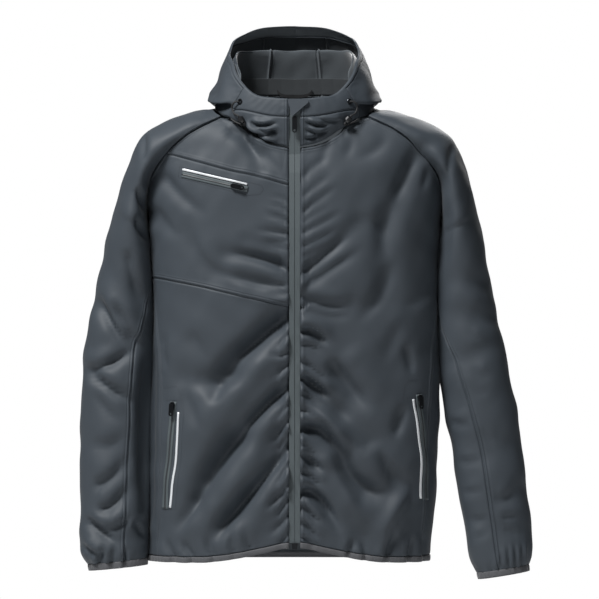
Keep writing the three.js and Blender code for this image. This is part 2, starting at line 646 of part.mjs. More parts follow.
// The back is one piece: both halves meet at the middle, so it is laid out across the full width.
const BACK_ACROSS = [-1, -0.88, -0.74, -0.58, -0.4, -0.2, 0, 0.2, 0.4, 0.58, 0.74, 0.88, 1];
clothPiece("back_panel", "shell", (u, v) => {
  const side = u < 0 ? -1 : 1;
  let z = mix(BODY_BOTTOM_Z, 20, v);
  for (let pass = 0; pass < 14; pass++) {
    const angle = Math.abs(u) * seamAngle(side, z, RAGLAN_BACK);
    const x = halfWidth(side, z) * Math.sin(angle) ** (2 / BODY_POWER);
    z = mix(BODY_BOTTOM_Z, column(BACK_NECK_EDGE, "x", x, "z"), v);
  }
  const angle = Math.abs(u) * (seamAngle(side, z, RAGLAN_BACK) - SEAM_GAP / SEAM_ARM);
  return bodyPoint(side, Math.PI - angle, z);
}, BACK_ACROSS, steps(0, 1, 22), -WALL, 0);

for (const [side, name] of [[-1, "right"], [1, "left"]]) {
  const top = UNDERARM_Z - 12;
  clothPiece("side_panel_" + name, "shell", (u, v) => {
    const z = mix(BODY_BOTTOM_Z, top, v);
    const front = seamAngle(side, z, RAGLAN_FRONT) + SEAM_GAP / SEAM_ARM;
    const angle = mix(front, Math.PI - front, u);
    return bodyPoint(side, angle, z);
  }, steps(0, 1, 4), steps(0, 1, 20), -WALL, 0);
}

// Sleeves

const RAGLAN_OUT = 0.7;

function seamPoint(side, raglan, z) {
  const front = raglan === RAGLAN_FRONT;
  const angle = seamAngle(side, z, raglan) + SEAM_GAP / SEAM_ARM;
  const held = Math.min(angle, Math.PI / 2);
  return bodyPoint(side, front ? held : Math.PI - held, z).point;
}

// One quarter of a sleeve section: a cubic from the seam or inner line to the top line.
function sleeveQuarter(start, top, toward, bow, deep, t) {
  const flat = 4 / 3;
  const round = 0.5523;
  const out = new THREE.Vector3(top.x - start.x, 0, top.z - start.z);
  const reach = bow * flat * deep;
  const rise = (1 - bow) * round;
  const topReach = mix(round * Math.abs(start.y - top.y), flat * deep, bow);
  const first = start.clone().addScaledVector(out, rise);
  first.y += toward * reach;
  const second = top.clone();
  second.y += toward * topReach;
  return new THREE.CubicBezierCurve3(start, first, second, top).getPoint(t);
}

function plainSleeve(side, station, turn) {
  const table = side < 0 ? SLEEVE_RIGHT : SLEEVE_LEFT;
  const value = (name) => column(table, "station", station, name);
  const top = new THREE.Vector3(side * value("topX"), value("topY"), value("topZ"));
  const front = turn < 0.5;
  const open = table.slice(0, UNDERARM_STATION + 1);
  let start;
  if (station <= UNDERARM_STATION) {
    const z = column(open, "station", station, front ? "frontZ" : "backZ");
    start = seamPoint(side, front ? RAGLAN_FRONT : RAGLAN_BACK, z);
    start.x += side * RAGLAN_OUT * (station / UNDERARM_STATION);
  } else {
    const closed = [
      { station: UNDERARM_STATION, innerX: 241.5, innerZ: -201 },
      ...table.slice(UNDERARM_STATION + 1),
    ];
    const x = column(closed, "station", station, "innerX");
    const y = mix(0, top.y, THREE.MathUtils.smoothstep(station, UNDERARM_STATION, UNDERARM_STATION + 3));
    start = new THREE.Vector3(side * x, y, column(closed, "station", station, "innerZ"));
  }
  const t = front ? turn * 2 : (1 - turn) * 2;
  return sleeveQuarter(start, top, front ? -1 : 1, value("bow"), value("deep"), t);
}

const TURN_STEP = 0.002;
const STATION_STEP = 0.01;

function sleeveFold(side, station, turn) {
  return SLEEVE_FOLDS.reduce((sum, fold) => {
    const around = (turn - fold.turn) / fold.reach;
    const along = (station - fold.station - side * fold.slant * (turn - fold.turn)) / fold.width;
    return sum + fold.depth * Math.exp(-around * around - along * along);
  }, 0);
}

function sleevePoint(side, station, turn) {
  const point = plainSleeve(side, station, turn);
  const t = THREE.MathUtils.clamp(turn, TURN_STEP, 1 - TURN_STEP);
  const k = Math.min(station, CUFF_STATION - STATION_STEP);
  const around = plainSleeve(side, k, t + TURN_STEP).sub(plainSleeve(side, k, t - TURN_STEP));
  const down = plainSleeve(side, k + STATION_STEP, t).sub(plainSleeve(side, k - STATION_STEP, t));
  const normal = around.cross(down).normalize().multiplyScalar(-side);
  point.addScaledVector(normal, sleeveFold(side, station, turn));
  return { point, normal };
}

const seamTurn = (side, station) => {
  if (station <= UNDERARM_STATION) return 0;
  return column(SLEEVE_SEAM, "station", station, side < 0 ? "right" : "left") / 2;
};
const SLEEVE_GAP_TURN = 0.0016;

for (const [side, name] of [[-1, "right"], [1, "left"]]) {
  clothPiece("sleeve_outer_" + name, "shell", (u, station) => {
    const seam = seamTurn(side, station) + (station > UNDERARM_STATION ? SLEEVE_GAP_TURN : 0);
    return sleevePoint(side, station, mix(seam, 1 - seam, u));
  }, steps(0, 1, 12), steps(0, CUFF_STATION, 27), -WALL, 0);
  clothPiece("sleeve_under_" + name, "shell", (u, station) => {
    const seam = seamTurn(side, station) - SLEEVE_GAP_TURN;
    const turn = mix(-seam, seam, u);
    return sleevePoint(side, station, turn < 0 ? 1 + turn : turn);
  }, steps(0, 1, 4), steps(UNDERARM_STATION + 0.6, CUFF_STATION, 16), -WALL, 0);
}

// Hood

// The crown is a broad arch: higher over the middle and beside it than the tables' sections. The sides
// below it are tucked in a little.
const CROWN_RISE = [
  { x: 0, rise: 5.5 },
  { x: 20, rise: 8 },
  { x: 45, rise: 10.5 },
  { x: 78, rise: 13.5 },
  { x: 105, rise: 16 },
  { x: 122, rise: 5 },
  { x: 140, rise: -6 },
  { x: 165, rise: -6 },
];
const CROWN_LOW = 15;
const CROWN_HIGH = 80;
const TUCK = { depth: 11, fromX: 112, toX: 148, lowFrom: 5, lowTo: 30, highFrom: 50, highTo: 85 };

function crownRise(x, z) {
  return column(CROWN_RISE, "x", x, "rise") * THREE.MathUtils.smoothstep(z, CROWN_LOW, CROWN_HIGH);
}

function sideTuck(x, z) {
  const across = THREE.MathUtils.smoothstep(x, TUCK.fromX, TUCK.toX);
  const low = THREE.MathUtils.smoothstep(z, TUCK.lowFrom, TUCK.lowTo);
  const high = THREE.MathUtils.smoothstep(z, TUCK.highFrom, TUCK.highTo);
  return TUCK.depth * across * low * (1 - high);
}

function hoodPlain(side, station, way) {
  const profile = HOOD_PROFILE.map(({ way: key, table }) => ({
    way: key,
    x: column(table, "station", station, "x"),
    y: column(table, "station", station, "y"),
    z: column(table, "station", station, "z"),
  }));
  const value = (name) => column(profile, "way", way, name);
  const x = value("x");
  const z = value("z");
  return new THREE.Vector3(side * (x - sideTuck(x, z)), value("y"), z + crownRise(x, z));
}

const WAY_STEP = 0.02;

function hoodPoint(side, station, way) {
  const point = hoodPlain(side, station, way);
  const k = THREE.MathUtils.clamp(station, STATION_STEP, FRONT_STATION - STATION_STEP);
  const w = THREE.MathUtils.clamp(way, WAY_STEP, RIM_WAY - WAY_STEP);
  const along = hoodPlain(side, k + STATION_STEP, w).sub(hoodPlain(side, k - STATION_STEP, w));
  const up = hoodPlain(side, k, w + WAY_STEP).sub(hoodPlain(side, k, w - WAY_STEP));
  const normal = along.cross(up).normalize().multiplyScalar(-side);
  return { point, normal };
}

const STATION_GAP = 0.012;
const WAY_GAP = 0.035;
const NECK_WAY = 0.02;
const CRUMPLE_DEPTH = 3;
const CRUMPLE_TURN = 1.7;

// The soft neck below the chin band is squashed: a few waves across it that die out at its edges.
function crumple(side, station, v) {
  const around = (station - CHIN_STATION) / (FRONT_STATION - CHIN_STATION);
  const middle = Math.sin(Math.PI * v) * Math.sin(Math.PI * around);
  return -CRUMPLE_DEPTH * middle * Math.cos(2 * Math.PI * v + CRUMPLE_TURN * side * station);
}
const HOOD_WAYS = [0.02, 0.8, 1.5, 1.85, 2.05, 2.4, 3.3, 4.1, 4.45, 4.75, 5.2, 6.1, 7];

clothPiece("hood_centre", "shell", (u, way) => hoodPoint(u < 0 ? -1 : 1, Math.abs(u), way),
  steps(-CENTRE_PANEL_STATION + STATION_GAP, CENTRE_PANEL_STATION - STATION_GAP, 4),
  [...HOOD_WAYS, RIM_BAND_WAY - WAY_GAP], 0, WALL);
for (const [side, name] of [[-1, "right"], [1, "left"]]) {
  clothPiece("hood_side_" + name, "shell", (u, way) => hoodPoint(side, u, way),
    steps(CENTRE_PANEL_STATION + STATION_GAP, CHIN_STATION - STATION_GAP, 12),
    [...HOOD_WAYS, RIM_BAND_WAY - WAY_GAP], 0, WALL);
  const chinWay = (station) => column(CHIN_SEAM, "station", station, "way");
  const front = steps(CHIN_STATION + STATION_GAP, FRONT_STATION, 8);
  clothPiece("neck_front_" + name, "shell", (u, v) => {
    const { point, normal } = hoodPoint(side, u, mix(NECK_WAY, chinWay(u) - WAY_GAP, v));
    return { point: point.addScaledVector(normal, crumple(side, u, v)), normal };
  }, front, steps(0, 1, 5), 0, WALL);
  const chinBand = (u, v) => hoodPoint(side, u, mix(chinWay(u) + WAY_GAP, RIM_WAY, v));
  clothPiece("chin_band_" + name, "shell", chinBand,
    front, steps(0, 1, 4), 0, WALL);
}
clothPiece("hood_rim_band", "shell", (u, way) => hoodPoint(u < 0 ? -1 : 1, Math.abs(u), way),
  [...steps(-CHIN_STATION + STATION_GAP, 0, 14), ...steps(0, CHIN_STATION - STATION_GAP, 14).slice(1)],
  [RIM_BAND_WAY + WAY_GAP, (RIM_BAND_WAY + RIM_WAY) / 2, RIM_WAY], 0, WALL);

// Bands along edges

// A band that hangs below the body's hem: its own wall, as high as the binding, from the body's points.
function hemBand(name, side, startAngle, endAngle, edgeZ, count) {
  clothPiece(name, "binding", (u, v) => {
    const angle = mix(startAngle, endAngle, u);
    const x = halfWidth(side, BODY_BOTTOM_Z) * Math.abs(Math.sin(angle)) ** (2 / BODY_POWER);
    const z = edgeZ(angle, x) - SEAM_GAP - mix(BINDING_HEIGHT, 0, v);
    return bodyPoint(side, angle, z);
  }, steps(0, 1, count), [0, 1], -BINDING_WALL + 0.5, 0.5);
}
const frontHemZ = (angle, x) => (Math.cos(angle) > 0 ? column(FRONT_HEM, "x", x, "z") : BODY_BOTTOM_Z);
for (const [side, name] of [[-1, "right"], [1, "left"]]) {
  const start = angleOfX(side, FRONT_EDGE, BODY_BOTTOM_Z);
  hemBand("hem_binding_" + name, side, start, Math.PI / 2 - SEAM_GAP / SEAM_ARM, frontHemZ, 14);
}
clothPiece("hem_binding_back", "binding", (u, v) => {
  const side = u < 0 ? -1 : 1;
  const angle = Math.PI - Math.abs(u) * (Math.PI / 2 - SEAM_GAP / SEAM_ARM);
  return bodyPoint(side, angle, BODY_BOTTOM_Z - SEAM_GAP - mix(BINDING_HEIGHT, 0, v));
}, steps(-1, 1, 24), [0, 1], -BINDING_WALL + 0.5, 0.5);

// A ring below each cuff, along the arm's own direction.
const CUFF_GAP = 0.9;
for (const [side, name] of [[-1, "right"], [1, "left"]]) {
  const ring = (turn, drop) => {
    const end = plainSleeve(side, CUFF_STATION, turn);
    const table = side < 0 ? SLEEVE_RIGHT : SLEEVE_LEFT;
    const last = table[CUFF_STATION];
    const run = new THREE.Vector3(side * (last.topX - last.innerX), 0, last.topZ - last.innerZ).normalize();
    const down = new THREE.Vector3(run.z, 0, -run.x);
    if (down.z > 0) down.negate();
    const middleX = side * (last.topX + last.innerX) / 2;
    const middle = new THREE.Vector3(middleX, last.topY, (last.topZ + last.innerZ) / 2);
    const out = end.clone().sub(middle);
    out.addScaledVector(down, -out.dot(down)).normalize();
    return { point: end.addScaledVector(down, drop + CUFF_GAP), normal: out };
  };
  const outer = [];
  const inner = [];
  for (const drop of [0, BINDING_HEIGHT]) {
    const outerRow = [];
    const innerRow = [];
    for (let k = 0; k < 24; k++) {
      const { point, normal } = ring(k / 24, drop);
      outerRow.push(point.clone().addScaledVector(normal, 0.5));
      innerRow.push(point.clone().addScaledVector(normal, 0.5 - BINDING_WALL));
    }
    outer.push(outerRow);
    inner.push(innerRow);
  }
  add("cuff_binding_" + name, facingOut(ringGeometry(outer, inner)), "binding");
}

// Front zip

const TAPE_LOW = -1.7;
const TAPE_HIGH = -0.4;
const ZIP_FOOT_Z = BODY_BOTTOM_Z + 24;
const NECK_JOIN_Z = -61;

// The front middle's line: down the body, and up the neck and chin above the neck seam.
function frontLine(side, x, z) {
  if (z <= NECK_JOIN_Z) return bodyPoint(side, angleOfX(side, x, z), z);
  const last = HOOD_NECK.length - 1;
  const share = (z - HOOD_NECK[last].z) / (HOOD_RIM[last].z - HOOD_NECK[last].z);
  const y = mix(HOOD_NECK[last].y, HOOD_RIM[last].y, share) - 4 * share * (1 - share) * 4;
  return { point: new THREE.Vector3(side * x, y, z), normal: new THREE.Vector3(0, -1, 0) };
}
for (const [side, name] of [[-1, "right"], [1, "left"]]) {
  clothPiece("zip_tape_" + name, "tape", (u, v) => frontLine(side, mix(0.4, ZIP_TAPE_EDGE - 0.2, u),
    mix(ZIP_FOOT_Z, HOOD_RIM[HOOD_RIM.length - 1].z, v)), [0, 1], steps(0, 1, 24), TAPE_LOW, TAPE_HIGH);
}

// A flat bar with round ends and a hole near one end, in the plane of `out`, pointing along `run`.
function tabGeometry({ length, width, hole }, wall) {
  const shape = new THREE.Shape();
  const half = width / 2;
  shape.moveTo(-half, 0);
  shape.lineTo(-half, -length + half);
  shape.absarc(0, -length + half, half, Math.PI, 2 * Math.PI, false);
  shape.lineTo(half, 0);
  shape.closePath();
  const opening = new THREE.Path();
  opening.absarc(0, -length + half, hole, 0, 2 * Math.PI, true);
  shape.holes.push(opening);
  return new THREE.ExtrudeGeometry(shape, { depth: wall, bevelEnabled: false, curveSegments: 6 });
}

function merged(geometry) {
  const bare = geometry.clone();
  bare.deleteAttribute("normal");
  bare.deleteAttribute("uv");
  return mergeVertices(bare, 1e-4);
}

// Puts a piece drawn in its own plane (x across, y along, z out) at a point with two directions.
function placed(mesh, point, along, out) {
  const across = new THREE.Vector3().crossVectors(along, out).normalize();
  const up = new THREE.Vector3().crossVectors(out, across).normalize();
  mesh.applyMatrix4(new THREE.Matrix4().makeBasis(across, up, out).setPosition(point));
  return mesh;
}

// A slider body with a bridge for the tab: a rounded block, wider at its head.
function sliderGeometry() {
  const shape = new THREE.Shape();
  const half = SLIDER_WIDTH / 2;
  shape.moveTo(-half, SLIDER_LENGTH / 2);
  shape.lineTo(-half * 0.7, -SLIDER_LENGTH / 2);
  shape.lineTo(half * 0.7, -SLIDER_LENGTH / 2);
  shape.lineTo(half, SLIDER_LENGTH / 2);
  shape.absarc(0, SLIDER_LENGTH / 2 - 1, half * 0.8, 0.3, Math.PI - 0.3, false);
  shape.closePath();
  return new THREE.ExtrudeGeometry(shape, { depth: SLIDER_WALL, bevelEnabled: false, curveSegments: 4 });
}

// A slider seated on a zip and its tab on top of it; `up` is the zip's direction away from the tab.
function sliderAndTab(name, seat, up, tab, seatHigh) {
  const out = seat.normal;
  const base = seat.point.clone().addScaledVector(out, seatHigh + ON_TOP);
  placed(add("slider_" + name, merged(sliderGeometry()), "metal"), base, up, out);
  const hinge = base.clone().addScaledVector(out, SLIDER_WALL + TAB_GAP);
  hinge.addScaledVector(up, SLIDER_LENGTH / 3);
  placed(add("pull_tab_" + name, merged(tabGeometry(tab, TAB_WALL)), "metal"), hinge, up, out);
}

sliderAndTab("main", frontLine(1, 0, MAIN_SLIDER_Z), new THREE.Vector3(0, 0, 1), MAIN_TAB, TAPE_HIGH);

const BOX_HALF = 5;
const BOX_HEIGHT = 10;
const BOX_TAPER = 1;
const BOX_WALL = 4;
const BOX_SUNK = 2.4;
const boxShape = new THREE.Shape();
boxShape.moveTo(-BOX_HALF, 0);
boxShape.lineTo(-BOX_HALF + BOX_TAPER, -BOX_HEIGHT);
boxShape.lineTo(BOX_HALF - BOX_TAPER, -BOX_HEIGHT);
boxShape.lineTo(BOX_HALF, 0);
boxShape.closePath();
const bottomBox = add("zip_bottom_box", merged(new THREE.ExtrudeGeometry(boxShape, {
  depth: BOX_WALL, bevelEnabled: false,
})), "metal");
placed(bottomBox, frontLine(1, 0, ZIP_FOOT_Z - SEAM_GAP).point.add(new THREE.Vector3(0, BOX_SUNK, 0)),
  new THREE.Vector3(0, 0, 1), new THREE.Vector3(0, -1, 0));

// The garage: a three-cornered flap from the chin's top down over the slider.
const garageShape = new THREE.Shape();
garageShape.moveTo(-11, 16.5);
garageShape.lineTo(-6, -10);
garageShape.lineTo(-3.5, -12);
garageShape.lineTo(22, 10);
garageShape.quadraticCurveTo(23, 16, 20, 16.8);
garageShape.closePath();
const GARAGE_WALL = 1.5;
const GARAGE_TOP = { y: -106.9, z: 16.5 };
const GARAGE_LEAN = 0.17;
const garage = add("zip_garage", merged(new THREE.ExtrudeGeometry(garageShape, {
  depth: GARAGE_WALL, bevelEnabled: false, curveSegments: 4,
})), "shell");
placed(garage, new THREE.Vector3(0, GARAGE_TOP.y - GARAGE_TOP.z * Math.tan(GARAGE_LEAN), 0),
  new THREE.Vector3(0, Math.sin(GARAGE_LEAN), Math.cos(GARAGE_LEAN)),
  new THREE.Vector3(0, -Math.cos(GARAGE_LEAN), Math.sin(GARAGE_LEAN)));

// Pockets

// A band along a line on the fronts, `width` across, from `low` to `high` over the cloth.
function bandOnFront(name, look, line, width, low, high, count) {
  const place = (along) => ({
    x: column(line, "along", along, "x"),
    z: column(line, "along", along, "z"),
  });
  clothPiece(name, look, (u, v) => {
    const here = place(v);
    const ahead = place(Math.min(v + 0.02, 1));
    const behind = place(Math.max(v - 0.02, 0));
    const length = Math.hypot(ahead.x - behind.x, ahead.z - behind.z);
    const x = here.x - (u * width * (ahead.z - behind.z)) / length;
    const z = here.z + (u * width * (ahead.x - behind.x)) / length;
    const side = Math.sign(x);
    return bodyPoint(side, angleOfX(side, Math.abs(x), z), z);
  }, [-0.5, 0, 0.5], steps(0, 1, count), low, high);
}

function pocketSlider(name, line, along, flip) {
  const x = column(line, "along", along, "x");
  const z = column(line, "along", along, "z");
  const side = Math.sign(x);
  const seat = bodyPoint(side, angleOfX(side, Math.abs(x), z), z);
  const run = new THREE.Vector3(line[0].x - line[line.length - 1].x, 0, line[0].z - line[line.length - 1].z);
  const up = run.normalize().multiplyScalar(flip);
  up.addScaledVector(seat.normal, -up.dot(seat.normal)).normalize();
  sliderAndTab(name, seat, up, POCKET_TAB, ON_TOP + POCKET_TAPE_WALL);
}

const POCKETS = [
  { name: "chest", zip: CHEST_ZIP, strip: CHEST_STRIP, slider: 0.8 },
  { name: "hand_right", zip: HAND_ZIP_RIGHT, strip: HAND_STRIP_RIGHT, slider: 0.04 },
  { name: "hand_left", zip: HAND_ZIP_LEFT, strip: HAND_STRIP_LEFT, slider: 0.04 },
];
for (const { name, zip, strip, slider } of POCKETS) {
  const tapeHigh = ON_TOP + POCKET_TAPE_WALL;
  bandOnFront("pocket_zip_" + name, "tape", zip, POCKET_TAPE_WIDTH, ON_TOP, tapeHigh, 10);
  const stripHigh = ON_TOP + REFLECTIVE_WALL;
  bandOnFront("reflective_" + name, "reflective", strip, REFLECTIVE_WIDTH, ON_TOP, stripHigh, 10);
  pocketSlider(name, zip, slider, 1);
}

// Neck band and hanging loop

clothPiece("neck_band_back", "binding", (u, way) => hoodPoint(u < 0 ? -1 : 1, Math.abs(u), way),
  steps(-3, 3, 12), [0.1, 0.35, 0.6], -2.6, -1.2);
const LOOP = [
  { along: 0, x: -29, z: 36 },
  { along: 0.2, x: -22, z: 29 },
  { along: 0.5, x: 0, z: 27 },
  { along: 0.8, x: 22, z: 29 },
  { along: 1, x: 29, z: 36 },
];
const LOOP_OUT = 3;
const LOOP_HALF = 2.5;
clothPiece("hanging_loop", "plastic", (u, v) => {
  const x = column(LOOP, "along", v, "x");
  const z = column(LOOP, "along", v, "z") + u * LOOP_HALF;
  const share = (z - HOOD_NECK[0].z) / (HOOD_FOLD[0].z - HOOD_NECK[0].z);
  const bow = Math.sin(Math.PI * v) * 2;
  const y = mix(HOOD_NECK[0].y, HOOD_FOLD[0].y, share) - LOOP_OUT - bow - 2 * Math.abs(x / 29);
  return { point: new THREE.Vector3(x, y, z), normal: new THREE.Vector3(0, -1, 0) };
}, [-1, 1], steps(0, 1, 10), -0.6, 0.6);

// Hood cord with its eyelets and locks

function hoodOffset(side, { station, way, out }) {
  const { point, normal } = hoodPoint(side, station, way);
  return point.addScaledVector(normal, out);
}

function cordTube(points) {
  const curve = new THREE.CatmullRomCurve3(points);
  const ring = new THREE.Shape();
  ring.absarc(0, 0, CORD_DIAMETER / 2, 0, 2 * Math.PI, false);
  const count = Math.round(curve.getLength() / (2 * CORD_DIAMETER)) + 4;
  return merged(new THREE.ExtrudeGeometry(ring, { steps: count, extrudePath: curve, curveSegments: 4 }));
}

for (const [side, name] of [[-1, "right"], [1, "left"]]) {
  const route = CORD_ROUTE.map((row) => hoodOffset(side, row));
  const tail = CORD_TAIL.map((row) => hoodOffset(side, row));
  const lockAt = hoodOffset(side, LOCK_PLACE);
  const axis = tail[0].clone().sub(route[route.length - 1]).normalize();
  const fromLock = (reach) => lockAt.clone().addScaledVector(axis, reach);
  const lockEnd = LOCK_LENGTH / 2 + SEAM_GAP;
  route.push(fromLock(-lockEnd - CORD_DIAMETER), fromLock(-lockEnd));
  tail.unshift(fromLock(lockEnd), fromLock(lockEnd + CORD_DIAMETER));
  add("hood_cord_" + name, cordTube(route), "plastic");
  add("hood_cord_tail_" + name, cordTube(tail), "plastic");
  const eyelet = hoodPoint(side, EYELET_PLACE.station, EYELET_PLACE.way);
  const eyeletProfile = [
    new THREE.Vector2(EYELET_HOLE, 0),
    new THREE.Vector2(EYELET_RADIUS, 0),
    new THREE.Vector2(EYELET_RADIUS - 0.6, 0.9),
    new THREE.Vector2(EYELET_HOLE + 0.6, 0.9),
    new THREE.Vector2(EYELET_HOLE, 0),
  ];
  const ring = add("eyelet_" + name, merged(new THREE.LatheGeometry(eyeletProfile, 16)), "metal");
  ring.quaternion.setFromUnitVectors(new THREE.Vector3(0, 1, 0), eyelet.normal);
  ring.position.copy(eyelet.point).addScaledVector(eyelet.normal, WALL + ON_TOP);
  const lockProfile = [
    new THREE.Vector2(0, -LOCK_LENGTH / 2),
    new THREE.Vector2(LOCK_RADIUS * 0.6, -LOCK_LENGTH / 2),
    new THREE.Vector2(LOCK_RADIUS, -LOCK_LENGTH / 2 + 2),
    new THREE.Vector2(LOCK_RADIUS, LOCK_LENGTH / 2 - 3),
    new THREE.Vector2(LOCK_RADIUS * 0.6, LOCK_LENGTH / 2),
    new THREE.Vector2(0, LOCK_LENGTH / 2),
  ];
  const lock = add("cord_lock_" + name, merged(new THREE.LatheGeometry(lockProfile, 12)), "plastic");
  lock.quaternion.setFromUnitVectors(new THREE.Vector3(0, 1, 0), axis);
  lock.position.copy(lockAt);
}

export default jacket;
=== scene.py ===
# A men's hooded softshell jacket, dressed over its CAD solids: thin cloth shells with their creases, seams
# with topstitching, zip, pockets, cord and hardware.
import math

import bpy
import numpy as np
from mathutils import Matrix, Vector


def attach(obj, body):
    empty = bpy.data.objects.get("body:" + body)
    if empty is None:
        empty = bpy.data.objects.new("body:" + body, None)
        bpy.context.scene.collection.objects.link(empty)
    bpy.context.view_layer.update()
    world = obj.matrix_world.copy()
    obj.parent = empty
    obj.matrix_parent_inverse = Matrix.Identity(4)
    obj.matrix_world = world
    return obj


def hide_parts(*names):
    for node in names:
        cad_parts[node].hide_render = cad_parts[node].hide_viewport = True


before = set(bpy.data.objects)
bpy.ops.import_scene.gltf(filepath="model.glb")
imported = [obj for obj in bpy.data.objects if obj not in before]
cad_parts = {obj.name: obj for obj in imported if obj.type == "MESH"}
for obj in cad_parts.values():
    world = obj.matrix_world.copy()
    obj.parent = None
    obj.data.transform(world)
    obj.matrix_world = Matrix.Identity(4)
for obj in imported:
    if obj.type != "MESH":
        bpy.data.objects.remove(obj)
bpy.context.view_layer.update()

# Millimetres until a mesh is made. The tables repeat the jacket's sizes as its solids have them.
MM = 0.001
WALL = 2
SEAM_GAP = 0.3
SEAM_LAP = 0.2
BODY_POWER = 2.4
UNDERARM_Z = -200
ZIP_TAPE_EDGE = 9
FRONT_EDGE = ZIP_TAPE_EDGE + SEAM_GAP
BINDING_HEIGHT = 9
BODY_BOTTOM_Z = -732
SEAM_ARM = 100


def table(names, rows):
    columns = np.array(rows, dtype=float).T
    return dict(zip(names.split(), columns))


BODY_RINGS = table("z right left front back", [
    (-745, 242, 223, 104, 100), (-695, 242, 226, 108, 103), (-640, 241, 232, 111, 103),
    (-540, 240, 237, 111, 99), (-480, 239, 240, 110, 97), (-400, 235, 239, 110, 98),
    (-330, 233.5, 237, 112, 102), (-275, 235.5, 235, 115, 107), (-200, 240, 240, 116, 111),
    (-150, 243, 244, 113, 113), (-116, 245, 246, 110, 113), (-94, 246, 247, 107, 112),
    (-66, 247, 247, 100, 108), (-46, 247, 247, 94, 105), (-30, 247, 247, 84, 101),
    (-12, 247, 247, 66, 96), (5, 247, 247, 50, 91), (25, 247, 247, 34, 83),
])
RAGLAN_FRONT = table("z x", [
    (-200, 240), (-150, 242), (-116, 238), (-94, 227), (-66, 206), (-46, 183), (-30, 157), (-12, 120),
])
RAGLAN_BACK = table("z x", [
    (-200, 240), (-150, 237), (-105, 220), (-65, 190), (-30, 155), (-2, 120), (20, 86),
])
SIDE_SEAM = table("z share", [
    (-745, 0.935), (-600, 0.925), (-462, 0.93), (-344, 0.975), (-274, 0.994), (-230, 0.9985), (-200, 1),
])
FRONT_NECK_EDGE = table("x z", [
    (0, -64), (38, -57), (64, -45), (88, -25), (105, -17.5), (120, -12),
])
BACK_NECK_EDGE = table("x z", [
    (0, 22), (50, 21.5), (86, 20),
])
YOKE_SEAM = table("x z", [
    (0, -126), (17, -122), (64, -109), (103, -101), (150, -88), (208, -72),
])
CHEST_SEAM = table("x z", [
    (0, -324), (12, -322), (103, -302), (155, -290), (236, -274),
])
FRONT_HEM = table("x z", [
    (0, BODY_BOTTOM_Z + 24), (14, BODY_BOTTOM_Z + 24), (50, BODY_BOTTOM_Z + 16), (100, BODY_BOTTOM_Z + 6),
    (150, BODY_BOTTOM_Z), (242, BODY_BOTTOM_Z),
])
FRONT_FOLDS = table("x1 z1 x2 z2 width depth", [
    (-24, -343, -117, -430, 20, -9), (-117, -430, -178, -440, 20, -6), (-24, -472, -91, -539, 17, -8),
    (-91, -539, -158, -640, 20, -8), (-20, -529, -91, -662, 18, -7), (-60, -420, -150, -520, 22, 5),
    (-22, -252, -112, -236, 15, -6), (-22, -226, -80, -215, 12, -4), (-85, -30, -56, -98, 13, -5),
    (15, -443, 76, -495, 17, -7), (76, -495, 119, -543, 19, -6), (15, -525, 76, -564, 16, -7),
    (76, -564, 186, -625, 20, -6), (15, -570, 112, -700, 18, -7), (50, -500, 140, -600, 20, 4),
    (17, -262, 107, -186, 16, -6), (202, -70, 150, -190, 18, -6), (150, -190, 150, -312, 22, -6),
    (16, -318, 90, -320, 14, -5),
])
BACK_FOLDS = table("x1 z1 x2 z2 width depth", [
    (-190, -210, -70, -330, 24, -6), (190, -230, 80, -330, 24, -6), (-150, -440, 30, -470, 20, -8),
    (150, -520, -20, -500, 22, -7), (-120, -560, 120, -600, 20, -7), (-60, -90, -20, -260, 26, -5),
    (40, -80, 30, -300, 24, -4),
])
SLEEVE_TOP = table("station rightX rightZ leftX leftZ y deep bow", [
    (0, 137, 3, 137, 3, 12, 30, 0.1), (1, 166, 1, 166, 0, 12, 40, 0.15),
    (2, 207, -13, 210, -16, 12, 54, 0.25), (3, 244, -33, 250, -36, 12, 66, 0.4),
    (4, 262, -55, 269, -60, 12, 72, 0.55), (5, 275, -88, 282, -92, 12, 75, 0.75),
    (6, 287, -124, 293, -130, 12, 76, 0.9), (7, 298, -164, 303, -172, 12, 76, 1),
    (8, 310, -206, 312, -212, 11, 74, 1), (9, 319, -250, 320, -258, 9, 71, 1),
    (10, 330, -297, 329, -302, 6, 67, 1), (11, 341, -346, 341, -355, 3, 63, 1),
    (12, 350.5, -405, 351, -406, 0, 60, 1), (13, 353, -470, 363, -468, -4, 57, 1),
    (14, 354, -540, 373, -534, -8, 54, 1), (15, 355, -610, 383, -600, -13, 51, 1),
    (16, 356, -672, 388.5, -664, -17, 49, 1), (17, 354, -722, 394, -722, -20, 45, 1),
    (18, 340, -748, 385, -748, -21, 38, 1),
])
SLEEVE_START = table("station frontZ backZ", [
    (0, -12, 20), (1, -24, 4), (2, -42, -22), (3, -64, -52), (4, -88, -82), (5, -118, -116),
    (6, -158, -158), (7, -201, -201),
])
SLEEVE_INNER = table("station rightX rightZ leftX leftZ", [
    (7, 240, -201, 240, -201), (8, 236, -240, 236, -238), (9, 232, -280, 232, -280),
    (10, 229.5, -321, 231, -324), (11, 230, -362, 232.5, -376), (12, 231, -412, 236, -426),
    (13, 233.5, -470, 245, -486), (14, 235.5, -540, 257, -548), (15, 237, -610, 267, -612),
    (16, 238, -672, 277.5, -676), (17, 240, -718, 287, -734), (18, 243, -738, 301, -762),
])
SLEEVE_SEAM = table("station right left", [
    (7, 0, 0), (8, 0.06, 0.06), (10, 0.2, 0.12), (12, 0.34, 0.33), (14, 0.36, 0.42), (16, 0.38, 0.43),
    (18, 0.4, 0.44),
])
